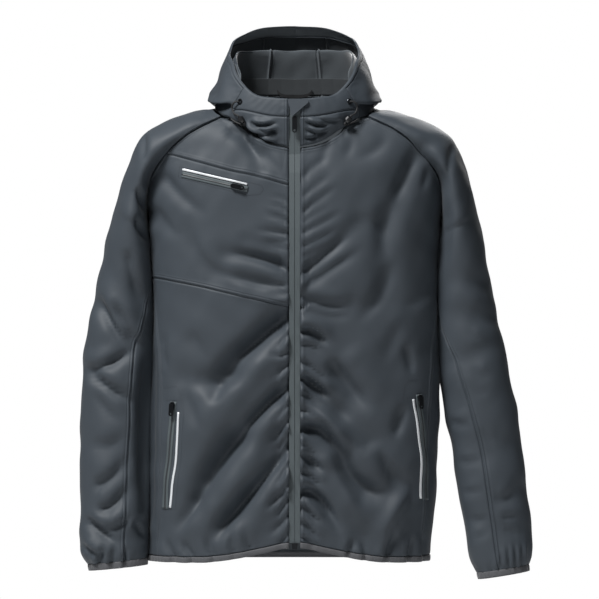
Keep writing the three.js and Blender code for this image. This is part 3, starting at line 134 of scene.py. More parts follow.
SLEEVE_FOLDS = table("station turn reach width slant depth", [
    (9.4, 0.3, 0.16, 0.5, 2.2, -5), (10.6, 0.34, 0.2, 0.4, 1.6, -6), (11.7, 0.26, 0.16, 0.35, -1.2, -6),
    (11.2, 0.7, 0.18, 0.45, 1.5, -6), (12.6, 0.64, 0.2, 0.4, -1.4, -5), (14.2, 0.3, 0.18, 0.45, 1.8, -4),
    (15.4, 0.36, 0.2, 0.4, -1.6, -5), (16.3, 0.3, 0.2, 0.32, 1.4, -5), (16.9, 0.66, 0.2, 0.35, -1.2, -5),
])
HOOD_NECK = table("station x y z", [
    (0, 0, 79, 26), (1, 46, 77, 26), (2, 88, 66, 25), (3, 118, 44, 21), (4, 131, 14, 12),
    (5, 130, -18, 2), (6, 119, -50, -8), (7, 104, -66, -14), (8, 78, -83, -31), (9, 42, -96, -53),
    (10, 9.3, -100, -61),
])
HOOD_FOLD = table("station x y z", [
    (0, 0, 64, 97), (1, 40, 60, 93), (2, 74, 48, 89), (3, 90, 26, 85), (4, 95, -4, 76), (5, 93, -32, 62),
    (6, 88, -54, 44), (7, 101.9, -71.8, -2.3), (8, 76.1, -89.3, -18.1), (9, 40.8, -100.6, -35.9),
    (10, 9.3, -103.9, -42.4),
])
HOOD_BAG_INNER = table("station x y z", [
    (0, 0, 112, 10), (1, 54, 108, 12), (2, 104, 90, 18), (3, 134, 58, 24), (4, 139, 18, 27),
    (5, 132, -22, 24), (6, 118, -52, 18), (7, 98.6, -75.1, 7), (8, 73.7, -92.3, -7.9),
    (9, 39.6, -102.6, -22.1), (10, 9.3, -105.6, -27.6),
])
HOOD_BAG_BOTTOM = table("station x y z", [
    (0, 0, 131, -36), (1, 60, 128, -24), (2, 112, 110, 2), (3, 144, 70, 18), (4, 148, 20, 18),
    (5, 140, -26, 14), (6, 124, -56, 12), (7, 95.8, -76.5, 12.8), (8, 71.7, -93.3, -1.4),
    (9, 38.6, -103.1, -13.6), (10, 9.3, -106.2, -18.3),
])
HOOD_BAG_OUTER = table("station x y z", [
    (0, 0, 151, 20), (1, 62, 146, 22), (2, 116, 122, 28), (3, 147, 76, 34), (4, 146, 22, 34),
    (5, 134, -26, 32), (6, 117, -56, 26), (7, 92.4, -77.6, 18.7), (8, 69.3, -93.7, 5),
    (9, 37.6, -103.1, -5), (10, 9.3, -106.2, -9),
])
HOOD_BAG_HIGH = table("station x y z", [
    (0, 0, 152, 88), (1, 55, 144, 84), (2, 98, 118, 76), (3, 120, 72, 70), (4, 121, 20, 64),
    (5, 113, -26, 54), (6, 103, -56, 40), (7, 86.8, -78.2, 26.8), (8, 65.5, -93, 14),
    (9, 35.9, -102.1, 7), (10, 9.3, -105.6, 4),
])
HOOD_RIM = table("station x y z", [
    (0, 0, 122, 141), (1, 52, 112, 132), (2, 88, 86, 114), (3, 104, 46, 94), (4, 106, 6, 78),
    (5, 101, -32, 65), (6, 94, -60, 49), (7, 80, -78, 35), (8, 61, -91, 23), (9, 34, -100, 19),
    (10, 9.3, -104, 17),
])
CHIN_SEAM = table("station way", [
    (7, 2.6), (8, 4.2), (9, 4.9), (10, 5.2),
])
CHEST_ZIP = table("along x z", [
    (0, -184, -106), (1, -76, -131.5),
])
CHEST_STRIP = table("along x z", [
    (0, -183, -98), (1, -77, -123),
])
HAND_ZIP_RIGHT = table("along x z", [
    (0, -198, -478), (0.35, -203, -540), (0.7, -209.5, -602), (1, -212, -654),
])
HAND_STRIP_RIGHT = table("along x z", [
    (0, -190, -495), (0.4, -193, -558), (0.7, -198, -606), (1, -204, -652),
])
HAND_ZIP_LEFT = table("along x z", [
    (0, 203, -466), (0.35, 210, -528), (0.7, 215.5, -590), (1, 215, -640),
])
HAND_STRIP_LEFT = table("along x z", [
    (0, 194, -474), (0.3, 201, -520), (0.6, 207, -575), (1, 207, -637),
])
CORD_ROUTE = table("station way out", [
    (7.25, 5.0, 3.4), (7.12, 4.6, 6.5), (7.05, 3.9, 7.5), (7.1, 3.0, 6), (7.35, 2.5, 6.6),
])
CORD_TAIL = table("station way out", [
    (7.9, 0.8, 5.8), (7.65, 0.7, 5.4), (7.4, 0.75, 5.2), (7.2, 0.8, 5.2),
])
HOOD_PROFILE = (
    HOOD_NECK, HOOD_FOLD, HOOD_BAG_INNER, HOOD_BAG_BOTTOM, HOOD_BAG_OUTER, HOOD_BAG_HIGH, HOOD_RIM,
)
HOOD_WAY = np.array([0, 2, 3.6, 4.6, 5.6, 7, 8.4])
UNDERARM_STATION = 7
CUFF_STATION = 18
CENTRE_PANEL_STATION = 1
CHIN_STATION = 7
FRONT_STATION = 10
RIM_BAND_WAY = 7.9
RIM_WAY = 8.4
STATION_GAP = -0.006
WAY_GAP = -0.02
NECK_WAY = -0.02


def mix(a, b, t):
    return a + (b - a) * t


def smoothstep(value, low, high):
    t = np.clip((value - low) / (high - low), 0, 1)
    return t * t * (3 - 2 * t)


def unit(vectors):
    return vectors / np.maximum(np.linalg.norm(vectors, axis=-1, keepdims=True), 1e-9)


# Smooth curve through values at rising keys, flat past both ends. Values are one row per key.
def curve_through(keys, values, at):
    at = np.clip(at, keys[0], keys[-1])
    i = np.clip(np.searchsorted(keys, at, side="left") - 1, 0, len(keys) - 2)
    before = np.maximum(i - 1, 0)
    after = np.minimum(i + 2, len(keys) - 1)
    pick = values.__getitem__ if values.ndim == 1 else lambda k: np.take_along_axis(values, k[None], 0)[0]
    low, high = pick(i), pick(i + 1)
    span = keys[i + 1] - keys[i]
    t = (at - keys[i]) / span
    m0 = (high - pick(before)) / (keys[i + 1] - keys[before]) * span
    m1 = (pick(after) - low) / (keys[after] - keys[i]) * span
    t2 = t * t
    t3 = t2 * t
    return (2 * t3 - 3 * t2 + 1) * low + (t3 - 2 * t2 + t) * m0 + (3 * t2 - 2 * t3) * high + (t3 - t2) * m1


def column(rows, key, at, name):
    keys, values = rows[key], rows[name]
    if keys[0] > keys[-1]:
        keys, values = keys[::-1], values[::-1]
    return curve_through(keys, values, np.asarray(at, dtype=float))


# Outward normal of a surface by small steps along its two directions.
def surface_normal(surface, a, b, step_a, step_b):
    along_a = surface(a + step_a, b) - surface(a - step_a, b)
    along_b = surface(a, b + step_b) - surface(a, b - step_b)
    return unit(np.cross(along_a, along_b))


# Depth of straight folds at points seen from the front or the back.
def fold_depth(folds, x, z):
    total = np.zeros_like(x)
    for x1, z1, x2, z2, width, depth in zip(*folds.values()):
        dx, dz = x2 - x1, z2 - z1
        along = np.clip(((x - x1) * dx + (z - z1) * dz) / (dx * dx + dz * dz), 0, 1)
        off2 = (x - x1 - along * dx) ** 2 + (z - z1 - along * dz) ** 2
        total += depth * np.exp(-off2 / (width * width))
    return total


# Body: angle 0 is the front middle, a quarter turn the side, half a turn the back middle.
def half_width(side, z):
    return np.where(side < 0, column(BODY_RINGS, "z", z, "right"), column(BODY_RINGS, "z", z, "left"))


def plain_body(side, angle, z):
    cos, sin = np.cos(angle), np.sin(angle)
    depth = np.where(cos > 0, column(BODY_RINGS, "z", z, "front"), column(BODY_RINGS, "z", z, "back"))
    share = 2 / BODY_POWER
    x = side * half_width(side, z) * np.abs(sin) ** share
    y = -np.sign(cos) * depth * np.abs(cos) ** share
    return np.stack([x, y, z + 0 * x], -1)


def alike(*values):
    return np.broadcast_arrays(*(np.asarray(value, float) for value in values))


ANGLE_STEP = 0.004
HEIGHT_STEP = 0.5
FOLD_FADE = (0.38, 0.62)


def body_point(side, angle, z):
    side, angle, z = alike(side, angle, z)
    point = plain_body(side, angle, z)
    normal = surface_normal(lambda a, h: plain_body(side, a, h), angle, z, ANGLE_STEP, HEIGHT_STEP)
    inward = normal[..., 0] * point[..., 0] + normal[..., 1] * point[..., 1] < 0
    normal = np.where(inward[..., None], -normal, normal)
    front = np.cos(angle) > 0
    x = point[..., 0]
    beside_zip = np.where(front, smoothstep(np.abs(x), ZIP_TAPE_EDGE, 3 * ZIP_TAPE_EDGE), 1)
    depth = np.where(front, fold_depth(FRONT_FOLDS, x, z), fold_depth(BACK_FOLDS, x, z))
    fade = smoothstep(np.abs(np.cos(angle)), *FOLD_FADE)
    return point + normal * (beside_zip * depth * fade)[..., None], normal


def angle_of_share(share):
    return np.arcsin(np.minimum(share, 1) ** (BODY_POWER / 2))


def angle_of_x(side, x, z):
    return angle_of_share(np.abs(x) / half_width(side, z))


def seam_angle(side, z, raglan):
    above = angle_of_x(side, column(raglan, "z", z, "x"), z)
    below = angle_of_share(column(SIDE_SEAM, "z", z, "share"))
    return np.where(z > UNDERARM_Z, above, below)


# A panel's edge runs along a curve of heights over x, found by going to and fro between the two.
SOLVE_STEPS = 14
PANEL_WIDTH = 240
BACK_NECK_Z = 20
SIDE_PANEL_TOP = UNDERARM_Z - 12


def front_panel(side, bottom, top):
    def place(u, z):
        end = seam_angle(side, z, RAGLAN_FRONT) + SEAM_LAP / SEAM_ARM
        return mix(angle_of_x(side, FRONT_EDGE, z), end, u)

    def edge(curve, shift, u):
        z = column(curve, "x", PANEL_WIDTH * u, "z")
        for _ in range(SOLVE_STEPS):
            x = half_width(side, z) * np.sin(place(u, z)) ** (2 / BODY_POWER)
            z = column(curve, "x", x, "z")
        return z + shift

    def surface(u, v):
        z = mix(edge(*bottom, u), edge(*top, u), v)
        return body_point(side, place(u, z), z)

    return surface


def back_surface(u, v):
    side = np.where(u < 0, -1.0, 1.0)
    z = mix(BODY_BOTTOM_Z, BACK_NECK_Z, v)
    for _ in range(SOLVE_STEPS):
        angle = np.abs(u) * seam_angle(side, z, RAGLAN_BACK)
        x = half_width(side, z) * np.sin(angle) ** (2 / BODY_POWER)
        z = mix(BODY_BOTTOM_Z, column(BACK_NECK_EDGE, "x", x, "z"), v)
    angle = np.abs(u) * (seam_angle(side, z, RAGLAN_BACK) + SEAM_LAP / SEAM_ARM)
    return body_point(side, math.pi - angle, z)


def side_surface(side):
    def surface(u, v):
        z = mix(BODY_BOTTOM_Z, SIDE_PANEL_TOP, v)
        front = seam_angle(side, z, RAGLAN_FRONT) - SEAM_LAP / SEAM_ARM
        return body_point(side, mix(front, math.pi - front, u), z)

    return surface


# Sleeves: station runs from the neck (0) to the cuff (18), turn from the front seam or inner line (0)
# over the outer line (0.5) round to the back (1).
SIDE_NAMES = {-1: "right", 1: "left"}
RAGLAN_OUT = 0.7
TURN_STEP = 0.002
STATION_STEP = 0.01
WAY_STEP = 0.02
SLEEVE_CLOSING = 3
# Handle lengths that turn a curve like a quarter and a half of an ellipse.
QUARTER_HANDLE = 0.5523
HALF_HANDLE = 4 / 3


def seam_point(side, raglan, z, front):
    angle = np.minimum(seam_angle(side, z, raglan) - SEAM_LAP / SEAM_ARM, math.pi / 2)
    return body_point(side, angle if front else math.pi - angle, z)[0]


def plain_sleeve(side, station, turn):
    name = SIDE_NAMES[side]
    top_x, top_y, top_z, deep, bow = (
        column(SLEEVE_TOP, "station", station, key) for key in (name + "X", "y", name + "Z", "deep", "bow")
    )
    top = np.stack([side * top_x, top_y, top_z], -1)
    front = turn < 0.5
    front_seam = seam_point(side, RAGLAN_FRONT, column(SLEEVE_START, "station", station, "frontZ"), True)
    back_seam = seam_point(side, RAGLAN_BACK, column(SLEEVE_START, "station", station, "backZ"), False)
    above = np.where(front[..., None], front_seam, back_seam)
    above[..., 0] += side * RAGLAN_OUT * station / UNDERARM_STATION
    inner_y = mix(0, top[..., 1], smoothstep(station, UNDERARM_STATION, UNDERARM_STATION + SLEEVE_CLOSING))
    inner_x, inner_z = (column(SLEEVE_INNER, "station", station, name + axis) for axis in "XZ")
    closed = np.stack([side * inner_x, inner_y, inner_z], -1)
    start = np.where((station <= UNDERARM_STATION)[..., None], above, closed)
    t = np.where(front, 2 * turn, 2 - 2 * turn)[..., None]
    toward = np.where(front, -1, 1)
    first = start + (top - start) * np.array([1, 0, 1]) * ((1 - bow) * QUARTER_HANDLE)[..., None]
    first[..., 1] += toward * bow * HALF_HANDLE * deep
    second = top.copy()
    drop = np.abs(start[..., 1] - top[..., 1])
    second[..., 1] += toward * mix(QUARTER_HANDLE * drop, HALF_HANDLE * deep, bow)
    return (1 - t) ** 3 * start + 3 * (1 - t) ** 2 * t * first + 3 * (1 - t) * t * t * second + t ** 3 * top


def sleeve_fold(side, station, turn):
    total = np.zeros_like(station)
    for at, round_at, reach, width, slant, depth in zip(*SLEEVE_FOLDS.values()):
        around = (turn - round_at) / reach
        along = (station - at - side * slant * (turn - round_at)) / width
        total += depth * np.exp(-around * around - along * along)
    return total


def sleeve_point(side, station, turn):
    station, turn = alike(station, turn)
    point = plain_sleeve(side, station, turn)
    held = np.clip(turn, TURN_STEP, 1 - TURN_STEP)
    k = np.minimum(station, CUFF_STATION - STATION_STEP)
    normal = -side * surface_normal(lambda t, s: plain_sleeve(side, s, t), held, k, TURN_STEP, STATION_STEP)
    return point + normal * sleeve_fold(side, station, turn)[..., None], normal


def seam_turn(station, name):
    return np.where(station <= UNDERARM_STATION, 0, column(SLEEVE_SEAM, "station", station, name) / 2)


# Hood: station runs from the back middle (0) to the front middle (10), way from the neck seam to the rim.
# The hood's crown is a broad arch, and its sides are tucked in a little.
CROWN_RISE = table("x rise", [
    (0, 5.5), (20, 8), (45, 10.5), (78, 13.5), (105, 16), (122, 5), (140, -6), (165, -6),
])
CROWN_LOW, CROWN_HIGH = 15, 80
TUCK = 11
TUCK_ACROSS = (112, 148)
TUCK_LOW = (5, 30)
TUCK_HIGH = (50, 85)


def plain_hood(side, station, way):
    rows = np.stack([[column(rows, "station", station, axis) for axis in "xyz"] for rows in HOOD_PROFILE])
    x, y, z = (curve_through(HOOD_WAY, rows[:, axis], way) for axis in range(3))
    rise = column(CROWN_RISE, "x", x, "rise") * smoothstep(z, CROWN_LOW, CROWN_HIGH)
    tuck = TUCK * smoothstep(x, *TUCK_ACROSS) * smoothstep(z, *TUCK_LOW) * (1 - smoothstep(z, *TUCK_HIGH))
    return np.stack([side * (x - tuck), y, z + rise], -1)


def hood_point(side, station, way):
    side, station, way = alike(side, station, way)
    point = plain_hood(side, station, way)
    k = np.clip(station, STATION_STEP, FRONT_STATION - STATION_STEP)
    w = np.clip(way, WAY_STEP, RIM_WAY - WAY_STEP)
    normal = surface_normal(lambda s, t: plain_hood(side, s, t), k, w, STATION_STEP, WAY_STEP)
    return point, normal * -side[..., None]


# Creases: soft troughs (depth above zero) or ridges (below) along a bent line of three points, with a
# raised lip on one side. `start` 1 keeps the crease at full depth at its first point.
PICTURE_SCALE = 1.64
PICTURE_MIDDLE = 294.6
PICTURE_ORIGIN = 110
ZIP_RIGHT_EDGE, ZIP_LEFT_EDGE = 289, 304
CREASE_COLUMNS = "x1 z1 x2 z2 x3 z3 width depth lip start"


def from_pixels(x, z):
    return (x - PICTURE_MIDDLE) * PICTURE_SCALE, (PICTURE_ORIGIN - z) * PICTURE_SCALE


def from_picture(rows):
    creases = table(CREASE_COLUMNS, rows)
    for point in "123":
        names = "x" + point, "z" + point
        creases[names[0]], creases[names[1]] = from_pixels(*(creases[name] for name in names))
    return creases


# Creases that fade out at both ends, and gathers that start at the zip's edge, at x pixel `edge`.
def free(rows):
    return [row + (0,) for row in rows]


def from_zip(edge, rows):
    return [(edge,) + row + (1,) for row in rows]


FRONT_CREASES = from_picture(free([
    # right chest: from the neck and from the raglan seam
    (225, 130, 242, 138, 274, 174, 11, 3.1, 0.3), (240, 124, 250, 142, 264, 166, 8, 3.1, 0.4),
    (262, 146, 270, 160, 284, 178, 7, 2.2, 0.4), (158, 166, 178, 192, 212, 220, 12, 3.6, 0.3),
    (190, 222, 204, 262, 246, 282, 15, 3.6, 0.3), (153, 205, 166, 224, 182, 240, 12, 2, 0.3),
    # right lower front: three big diagonal troughs with ridges between
    (240, 358, 222, 382, 186, 380, 18, 6.7, 0.2), (222, 376, 218, 392, 206, 402, 13, 5.2, 0.3),
    (250, 424, 216, 466, 190, 510, 21, 14, 0.3), (206, 486, 190, 512, 172, 534, 14, 6.2, 0.4),
    (262, 480, 236, 510, 208, 546, 15, 11.8, 0.3), (252, 550, 246, 538, 244, 520, 5, 2.7, 0.5),
    (236, 554, 232, 544, 232, 530, 5, 2.7, 0.5), (218, 558, 210, 548, 206, 532, 6, 3.1, 0.5),
    (196, 560, 188, 550, 180, 538, 6, 3.4, 0.5), (176, 560, 170, 550, 164, 536, 6, 2.9, 0.5),
    (182, 330, 200, 348, 208, 372, 16, 2.5, 0.3), (180, 384, 194, 414, 206, 440, 13, 2.2, 0.3),
    (166, 330, 164, 352, 168, 372, 9, 2, 0.3),
    # left chest: one long soft trough from the raglan seam
    (418, 148, 404, 180, 389, 208, 11, 3, 0.35), (392, 198, 384, 232, 389, 264, 14, 2.8, 0.3),
    (390, 256, 380, 296, 350, 326, 15, 2.7, 0.3), (428, 166, 426, 178, 420, 194, 6, 1.6, 0.4),
    (392, 130, 374, 152, 350, 158, 10, 1.7, 0.3), (330, 138, 324, 156, 322, 172, 9, 1.5, 0.3),
    (352, 134, 350, 148, 342, 160, 9, 1.3, 0.3), (436, 286, 420, 300, 398, 306, 12, 1.2, 0.3),
    (398, 318, 392, 344, 380, 366, 15, 1.5, 0.3),
    # left lower front: broad troughs that fall to the right, two long ridges that meet at the hem
    (328, 356, 348, 384, 374, 416, 18, 9.2, 0.3), (336, 448, 358, 482, 398, 494, 20, 12.5, 0.3),
    (376, 446, 392, 470, 410, 486, 13, 4.5, 0.3), (322, 440, 342, 480, 366, 536, 14, -6, 0),
    (412, 482, 392, 512, 374, 548, 12, -5.8, 0), (346, 556, 350, 546, 352, 536, 5, 2.9, 0.5),
    (366, 560, 364, 550, 360, 540, 5, 3.1, 0.5), (386, 560, 390, 546, 398, 530, 7, 4.5, 0.5),
    (408, 562, 410, 548, 414, 534, 6, 3.4, 0.5), (425, 562, 424, 548, 424, 530, 6, 2.9, 0.5),
    (404, 342, 410, 360, 412, 378, 8, 2.9, 0.3), (404, 402, 400, 424, 392, 440, 10, 3.4, 0.3),
    # squashed neck below the chin band, image left and right
    (250, 121, 262, 126, 279, 123, 3.2, 4.9, 0.6), (243, 121, 254, 133, 270, 135, 3.4, 5.4, 0.6),
    (256, 127, 268, 132, 280, 129, 2.6, 3.2, 0.7), (266, 138, 272, 132, 280, 136, 3, 3.8, 0.5),
    (262, 141, 272, 143, 280, 143, 2.8, 2.8, 0.5), (305, 121, 316, 126, 332, 124, 3.2, 4.6, 0.6),
    (304, 128, 318, 134, 330, 128, 3, 4.8, 0.6), (304, 137, 312, 139, 322, 133, 3, 3.8, 0.5),
    (316, 119, 330, 122, 342, 120, 2.8, 2.6, 0.5),
    # right sleeve, image left: smooth at the upper arm, folded at the elbow and above the cuff
    (144, 130, 144, 144, 142, 162, 6, 3.4, 0.4), (136, 186, 142, 200, 150, 216, 7, 4.5, 0.4),
    (136, 214, 142, 228, 150, 244, 7, 4.5, 0.4), (126, 246, 134, 276, 150, 318, 13, 5.5, 0.2),
    (98, 292, 110, 322, 136, 352, 9, 6.5, 0.4), (112, 296, 126, 326, 142, 350, 8, 5, 0.4),
    (80, 370, 106, 364, 140, 346, 9, 6.5, 0.4), (82, 368, 108, 386, 138, 404, 9, 6, 0.4),
    (90, 388, 106, 408, 124, 424, 9, 3, 0.3), (90, 440, 108, 444, 132, 432, 11, 2.6, 0.3),
    (88, 484, 108, 478, 132, 452, 11, 5, 0.3), (92, 508, 112, 504, 132, 478, 10, 6, 0.3),
    (82, 516, 100, 530, 122, 546, 8, 6, 0.4), (104, 524, 118, 526, 134, 512, 7, 4.5, 0.4),
    (80, 542, 92, 552, 110, 556, 6, 4, 0.5), (96, 568, 100, 556, 104, 544, 4, 3, 0.6),
    (110, 568, 112, 556, 115, 542, 4, 3, 0.6), (123, 568, 125, 556, 126, 544, 4, 3, 0.6),
    (149, 335, 145, 440, 148, 556, 12, 7, 0), (134, 520, 141, 530, 148, 544, 7, 4, 0.4),
    # left sleeve, image right: a shoulder fold, soft dents beside the inner seam, gathers at the cuff
    (456, 140, 450, 162, 446, 196, 8.1, 2.4, 0.3), (452, 196, 448, 236, 446, 282, 9, 1.4, 0.2),
    (468, 328, 474, 336, 484, 338, 6.3, 1, 0.4), (472, 366, 480, 374, 492, 374, 7.2, 1.4, 0.4),
    (476, 388, 482, 392, 492, 388, 5.4, 1.2, 0.4), (450, 418, 460, 424, 474, 420, 8.1, 2.2, 0.4),
    (480, 428, 488, 438, 496, 442, 7.2, 1.2, 0.4), (458, 456, 468, 462, 484, 454, 8.1, 2, 0.4),
    (462, 488, 472, 492, 486, 486, 7.2, 2, 0.4), (492, 496, 504, 498, 520, 488, 7.2, 1.8, 0.4),
    (500, 520, 510, 516, 524, 520, 6.3, 2, 0.4), (470, 516, 478, 520, 490, 512, 6.3, 1.7, 0.4),
    (472, 540, 480, 536, 488, 532, 5.4, 1.4, 0.4), (502, 532, 510, 530, 518, 536, 4.5, 1.5, 0.5),
    (508, 571, 508, 556, 506, 544, 3.1, 1.9, 0.7), (515, 571, 515, 556, 514, 542, 3.1, 2, 0.7),
    (521, 571, 522, 556, 521, 542, 3.1, 1.9, 0.7), (527, 571, 529, 556, 528, 540, 3.1, 1.8, 0.7),
    (500, 572, 500, 562, 498, 552, 3.1, 1.3, 0.6), (490, 576, 490, 566, 488, 556, 3.1, 1, 0.6),
]) + from_zip(ZIP_RIGHT_EDGE, [
    (204, 280, 199, 270, 197, 4, 1.4, 0.5), (213, 281, 208, 268, 203, 4, 1.5, 0.5),
    (223, 280, 219, 264, 212, 5, 2.2, 0.5), (234, 274, 233, 254, 229, 6, 2.9, 0.5),
    (241, 276, 242, 260, 240, 5, 2.4, 0.5), (249, 276, 248, 262, 246, 5, 2, 0.5),
    (272, 262, 259, 222, 252, 9, 6, 0.4), (284, 256, 283, 214, 268, 10, 4.4, 0.4),
    (278, 282, 277, 272, 275, 4, 1.5, 0.5), (293, 280, 294, 266, 292, 5, 2.5, 0.5),
    (318, 256, 343, 222, 376, 15, 10.6, 0.3), (388, 262, 410, 234, 444, 10, 8.3, 0.5),
    (446, 270, 472, 240, 504, 11, 9, 0.4), (334, 280, 344, 272, 358, 5, 2.5, 0.5),
    (352, 278, 356, 268, 352, 4, 2.2, 0.6), (364, 280, 372, 272, 384, 5, 2.7, 0.5),
    (378, 281, 384, 274, 392, 4, 2, 0.5), (404, 280, 414, 272, 426, 5, 2.9, 0.5),
    (420, 279, 432, 270, 446, 6, 3.1, 0.5), (434, 281, 444, 274, 456, 5, 2.5, 0.5),
    (464, 280, 478, 272, 492, 6, 3.6, 0.5), (482, 278, 496, 262, 512, 6, 3.4, 0.5),
    (498, 282, 508, 274, 520, 5, 2.7, 0.5), (514, 280, 524, 268, 538, 6, 2.9, 0.5),
    (530, 284, 538, 278, 545, 5, 2, 0.5),
]) + from_zip(ZIP_LEFT_EDGE, [
    (176, 314, 166, 330, 154, 6, 1.1, 0.4), (196, 316, 186, 332, 172, 6, 1.2, 0.4),
    (212, 320, 198, 340, 184, 6, 1.7, 0.5), (222, 316, 214, 330, 206, 5, 1, 0.5),
    (232, 322, 223, 346, 208, 6, 1.7, 0.5), (246, 320, 238, 340, 226, 6, 1.7, 0.5),
    (256, 316, 250, 330, 242, 5, 1.1, 0.5), (271, 326, 254, 352, 230, 7, 3, 0.5),
    (288, 332, 268, 366, 246, 9, 2.8, 0.4), (296, 326, 304, 352, 308, 8, 3.4, 0.5),
    (309, 330, 316, 356, 314, 8, 2.1, 0.4), (330, 316, 333, 328, 348, 7, 7.9, 0.5),
    (344, 314, 346, 322, 354, 4, 2.6, 0.5), (362, 318, 372, 330, 384, 6, 3.4, 0.5),
    (379, 316, 386, 330, 400, 7, 8.4, 0.5), (394, 314, 400, 322, 408, 4, 2.9, 0.5),
    (410, 320, 420, 338, 438, 7, 4.2, 0.5), (427, 324, 432, 344, 460, 9, 10.5, 0.5),
    (444, 312, 450, 320, 458, 5, 3.1, 0.5), (455, 314, 462, 324, 474, 6, 4.8, 0.5),
    (472, 314, 478, 322, 488, 6, 5, 0.5), (490, 322, 500, 346, 542, 10, 9.2, 0.5),
    (506, 312, 514, 320, 524, 5, 4, 0.5), (522, 312, 530, 318, 540, 5, 3.4, 0.5),
    (536, 310, 541, 316, 546, 4, 2.4, 0.5),
]))
# The hidden back has creases like the front's: across the small of the back, from the shoulder blades
# and above the hem, and down the back of each arm.
BACK_CREASES = table(CREASE_COLUMNS, free([
    (-215, -180, -160, -230, -90, -262, 14, 3, 0.4), (-222, -235, -170, -276, -104, -296, 13, 2.8, 0.4),
    (210, -190, 150, -236, 82, -256, 14, 3, 0.4), (220, -250, 166, -286, 100, -312, 13, 2.6, 0.4),
    (-205, -352, -120, -372, -20, -362, 14, 3.2, 0.4), (-190, -404, -90, -432, 26, -424, 13, 3.8, 0.5),
    (196, -376, 110, -404, 16, -396, 14, 3.4, 0.4), (204, -436, 118, -456, 40, -466, 13, 3.2, 0.5),
    (-200, -470, -110, -500, -6, -506, 14, 3.6, 0.5), (188, -500, 96, -530, 4, -540, 14, 3.4, 0.4),
    (-178, -546, -70, -578, 52, -584, 15, 3, 0.4), (176, -590, 90, -618, -10, -632, 14, 2.8, 0.4),
    (-60, -40, -48, -110, -40, -190, 15, 2.2, 0.4), (52, -44, 44, -118, 40, -200, 15, 2, 0.4),
    (-140, -64, -124, -130, -96, -190, 14, 2, 0.4), (140, -70, 128, -140, 100, -206, 14, 2.2, 0.4),
    (-190, -726, -184, -690, -176, -650, 9, 2, 0.5), (-130, -728, -128, -694, -120, -664, 8, 1.8, 0.5),
    (-66, -728, -64, -700, -60, -668, 9, 2, 0.5), (-8, -728, -4, -690, 2, -660, 8, 1.8, 0.5),
    (58, -728, 64, -698, 66, -664, 9, 2, 0.5), (116, -728, 122, -696, 130, -660, 8, 1.8, 0.5),
    (176, -728, 178, -694, 184, -652, 9, 2, 0.5), (-252, -230, -276, -262, -306, -286, 10, 2.6, 0.5),
    (-250, -312, -286, -330, -328, -326, 9, 3.2, 0.5), (-252, -364, -292, -372, -336, -356, 9, 3.2, 0.5),
    (-254, -412, -296, -432, -342, -436, 9, 2.8, 0.5), (-256, -500, -300, -512, -344, -498, 10, 2.6, 0.5),
    (-256, -580, -300, -600, -346, -600, 10, 2.6, 0.5), (-258, -660, -300, -668, -344, -650, 9, 2.8, 0.5),
    (-280, -744, -282, -716, -276, -692, 5, 2.2, 0.6), (-308, -744, -308, -714, -312, -690, 5, 2, 0.6),
    (254, -240, 280, -268, 308, -290, 10, 2.6, 0.5), (252, -330, 290, -344, 330, -334, 9, 3.2, 0.5),
    (256, -384, 298, -392, 340, -372, 9, 3.2, 0.5), (262, -440, 306, -458, 352, -456, 9, 2.8, 0.5),
    (270, -520, 316, -532, 364, -516, 10, 2.6, 0.5), (284, -600, 330, -616, 378, -612, 10, 2.8, 0.5),
    (298, -676, 342, -684, 386, -664, 9, 2.8, 0.5), (330, -752, 328, -722, 322, -698, 5, 2.2, 0.6),
    (356, -748, 356, -718, 360, -694, 5, 2, 0.6),
]))

CREASE_STEPS = 8
CREASE_REACH = 4
CREASE_STRENGTH = 1.7
STEEP_SIDE = 0.62
FADE_IN = 0.3
FADE_OUT = 0.4
LIP_AWAY = 1.9
LIP_WIDTH = 1.3


def crease_lift(creases, x, z):
    total = np.zeros_like(x)
    t = np.linspace(0, 1, CREASE_STEPS + 1)
    for x1, z1, x2, z2, x3, z3, width, depth, lip, start in zip(*creases.values()):
        bend_x, bend_z = 2 * x2 - (x1 + x3) / 2, 2 * z2 - (z1 + z3) / 2
        px = (1 - t) ** 2 * x1 + 2 * t * (1 - t) * bend_x + t * t * x3
        pz = (1 - t) ** 2 * z1 + 2 * t * (1 - t) * bend_z + t * t * z3
        reach = CREASE_REACH * width
        near = (x > px.min() - reach) & (x < px.max() + reach)
        near &= (z > pz.min() - reach) & (z < pz.max() + reach)
        if not near.any():
            continue
        at_x, at_z = x[near][:, None], z[near][:, None]
        dx, dz = np.diff(px), np.diff(pz)
        length = np.hypot(dx, dz)
        along = np.clip(((at_x - px[:-1]) * dx + (at_z - pz[:-1]) * dz) / length ** 2, 0, 1)
        off_x, off_z = at_x - px[:-1] - along * dx, at_z - pz[:-1] - along * dz
        best = np.argmin(off_x ** 2 + off_z ** 2, axis=1)
        rows = np.arange(len(best))
        side = np.sign(dx[best] * off_z[rows, best] - dz[best] * off_x[rows, best])
        off = side * np.hypot(off_x[rows, best], off_z[rows, best])
        way = (best + along[rows, best]) / CREASE_STEPS
        taper = np.maximum(smoothstep(way, 0, FADE_IN), start) * smoothstep(1 - way, 0, FADE_OUT)
        steep = np.where(off * np.sign(lip) > 0, STEEP_SIDE, 1.0) * width
        shape = -np.exp(-(off / steep) ** 2)
        shape += abs(lip) * np.exp(-((off * np.sign(lip) - LIP_AWAY * width) / (LIP_WIDTH * width)) ** 2)
        total[near] += CREASE_STRENGTH * depth * taper * shape
    return total


# Soft unevenness that no cloth is without, in mm.
RIPPLES = table("x y z turn high", [
    (0.071, 0.043, 0.094, 0.3, 0.45), (-0.052, 0.081, 0.061, 1.9, 0.45), (0.11, -0.06, 0.037, 4.1, 0.3),
    (0.023, 0.031, -0.049, 2.2, 0.8), (-0.14, 0.1, 0.12, 5.3, 0.16), (0.16, 0.07, -0.09, 0.9, 0.14),
])


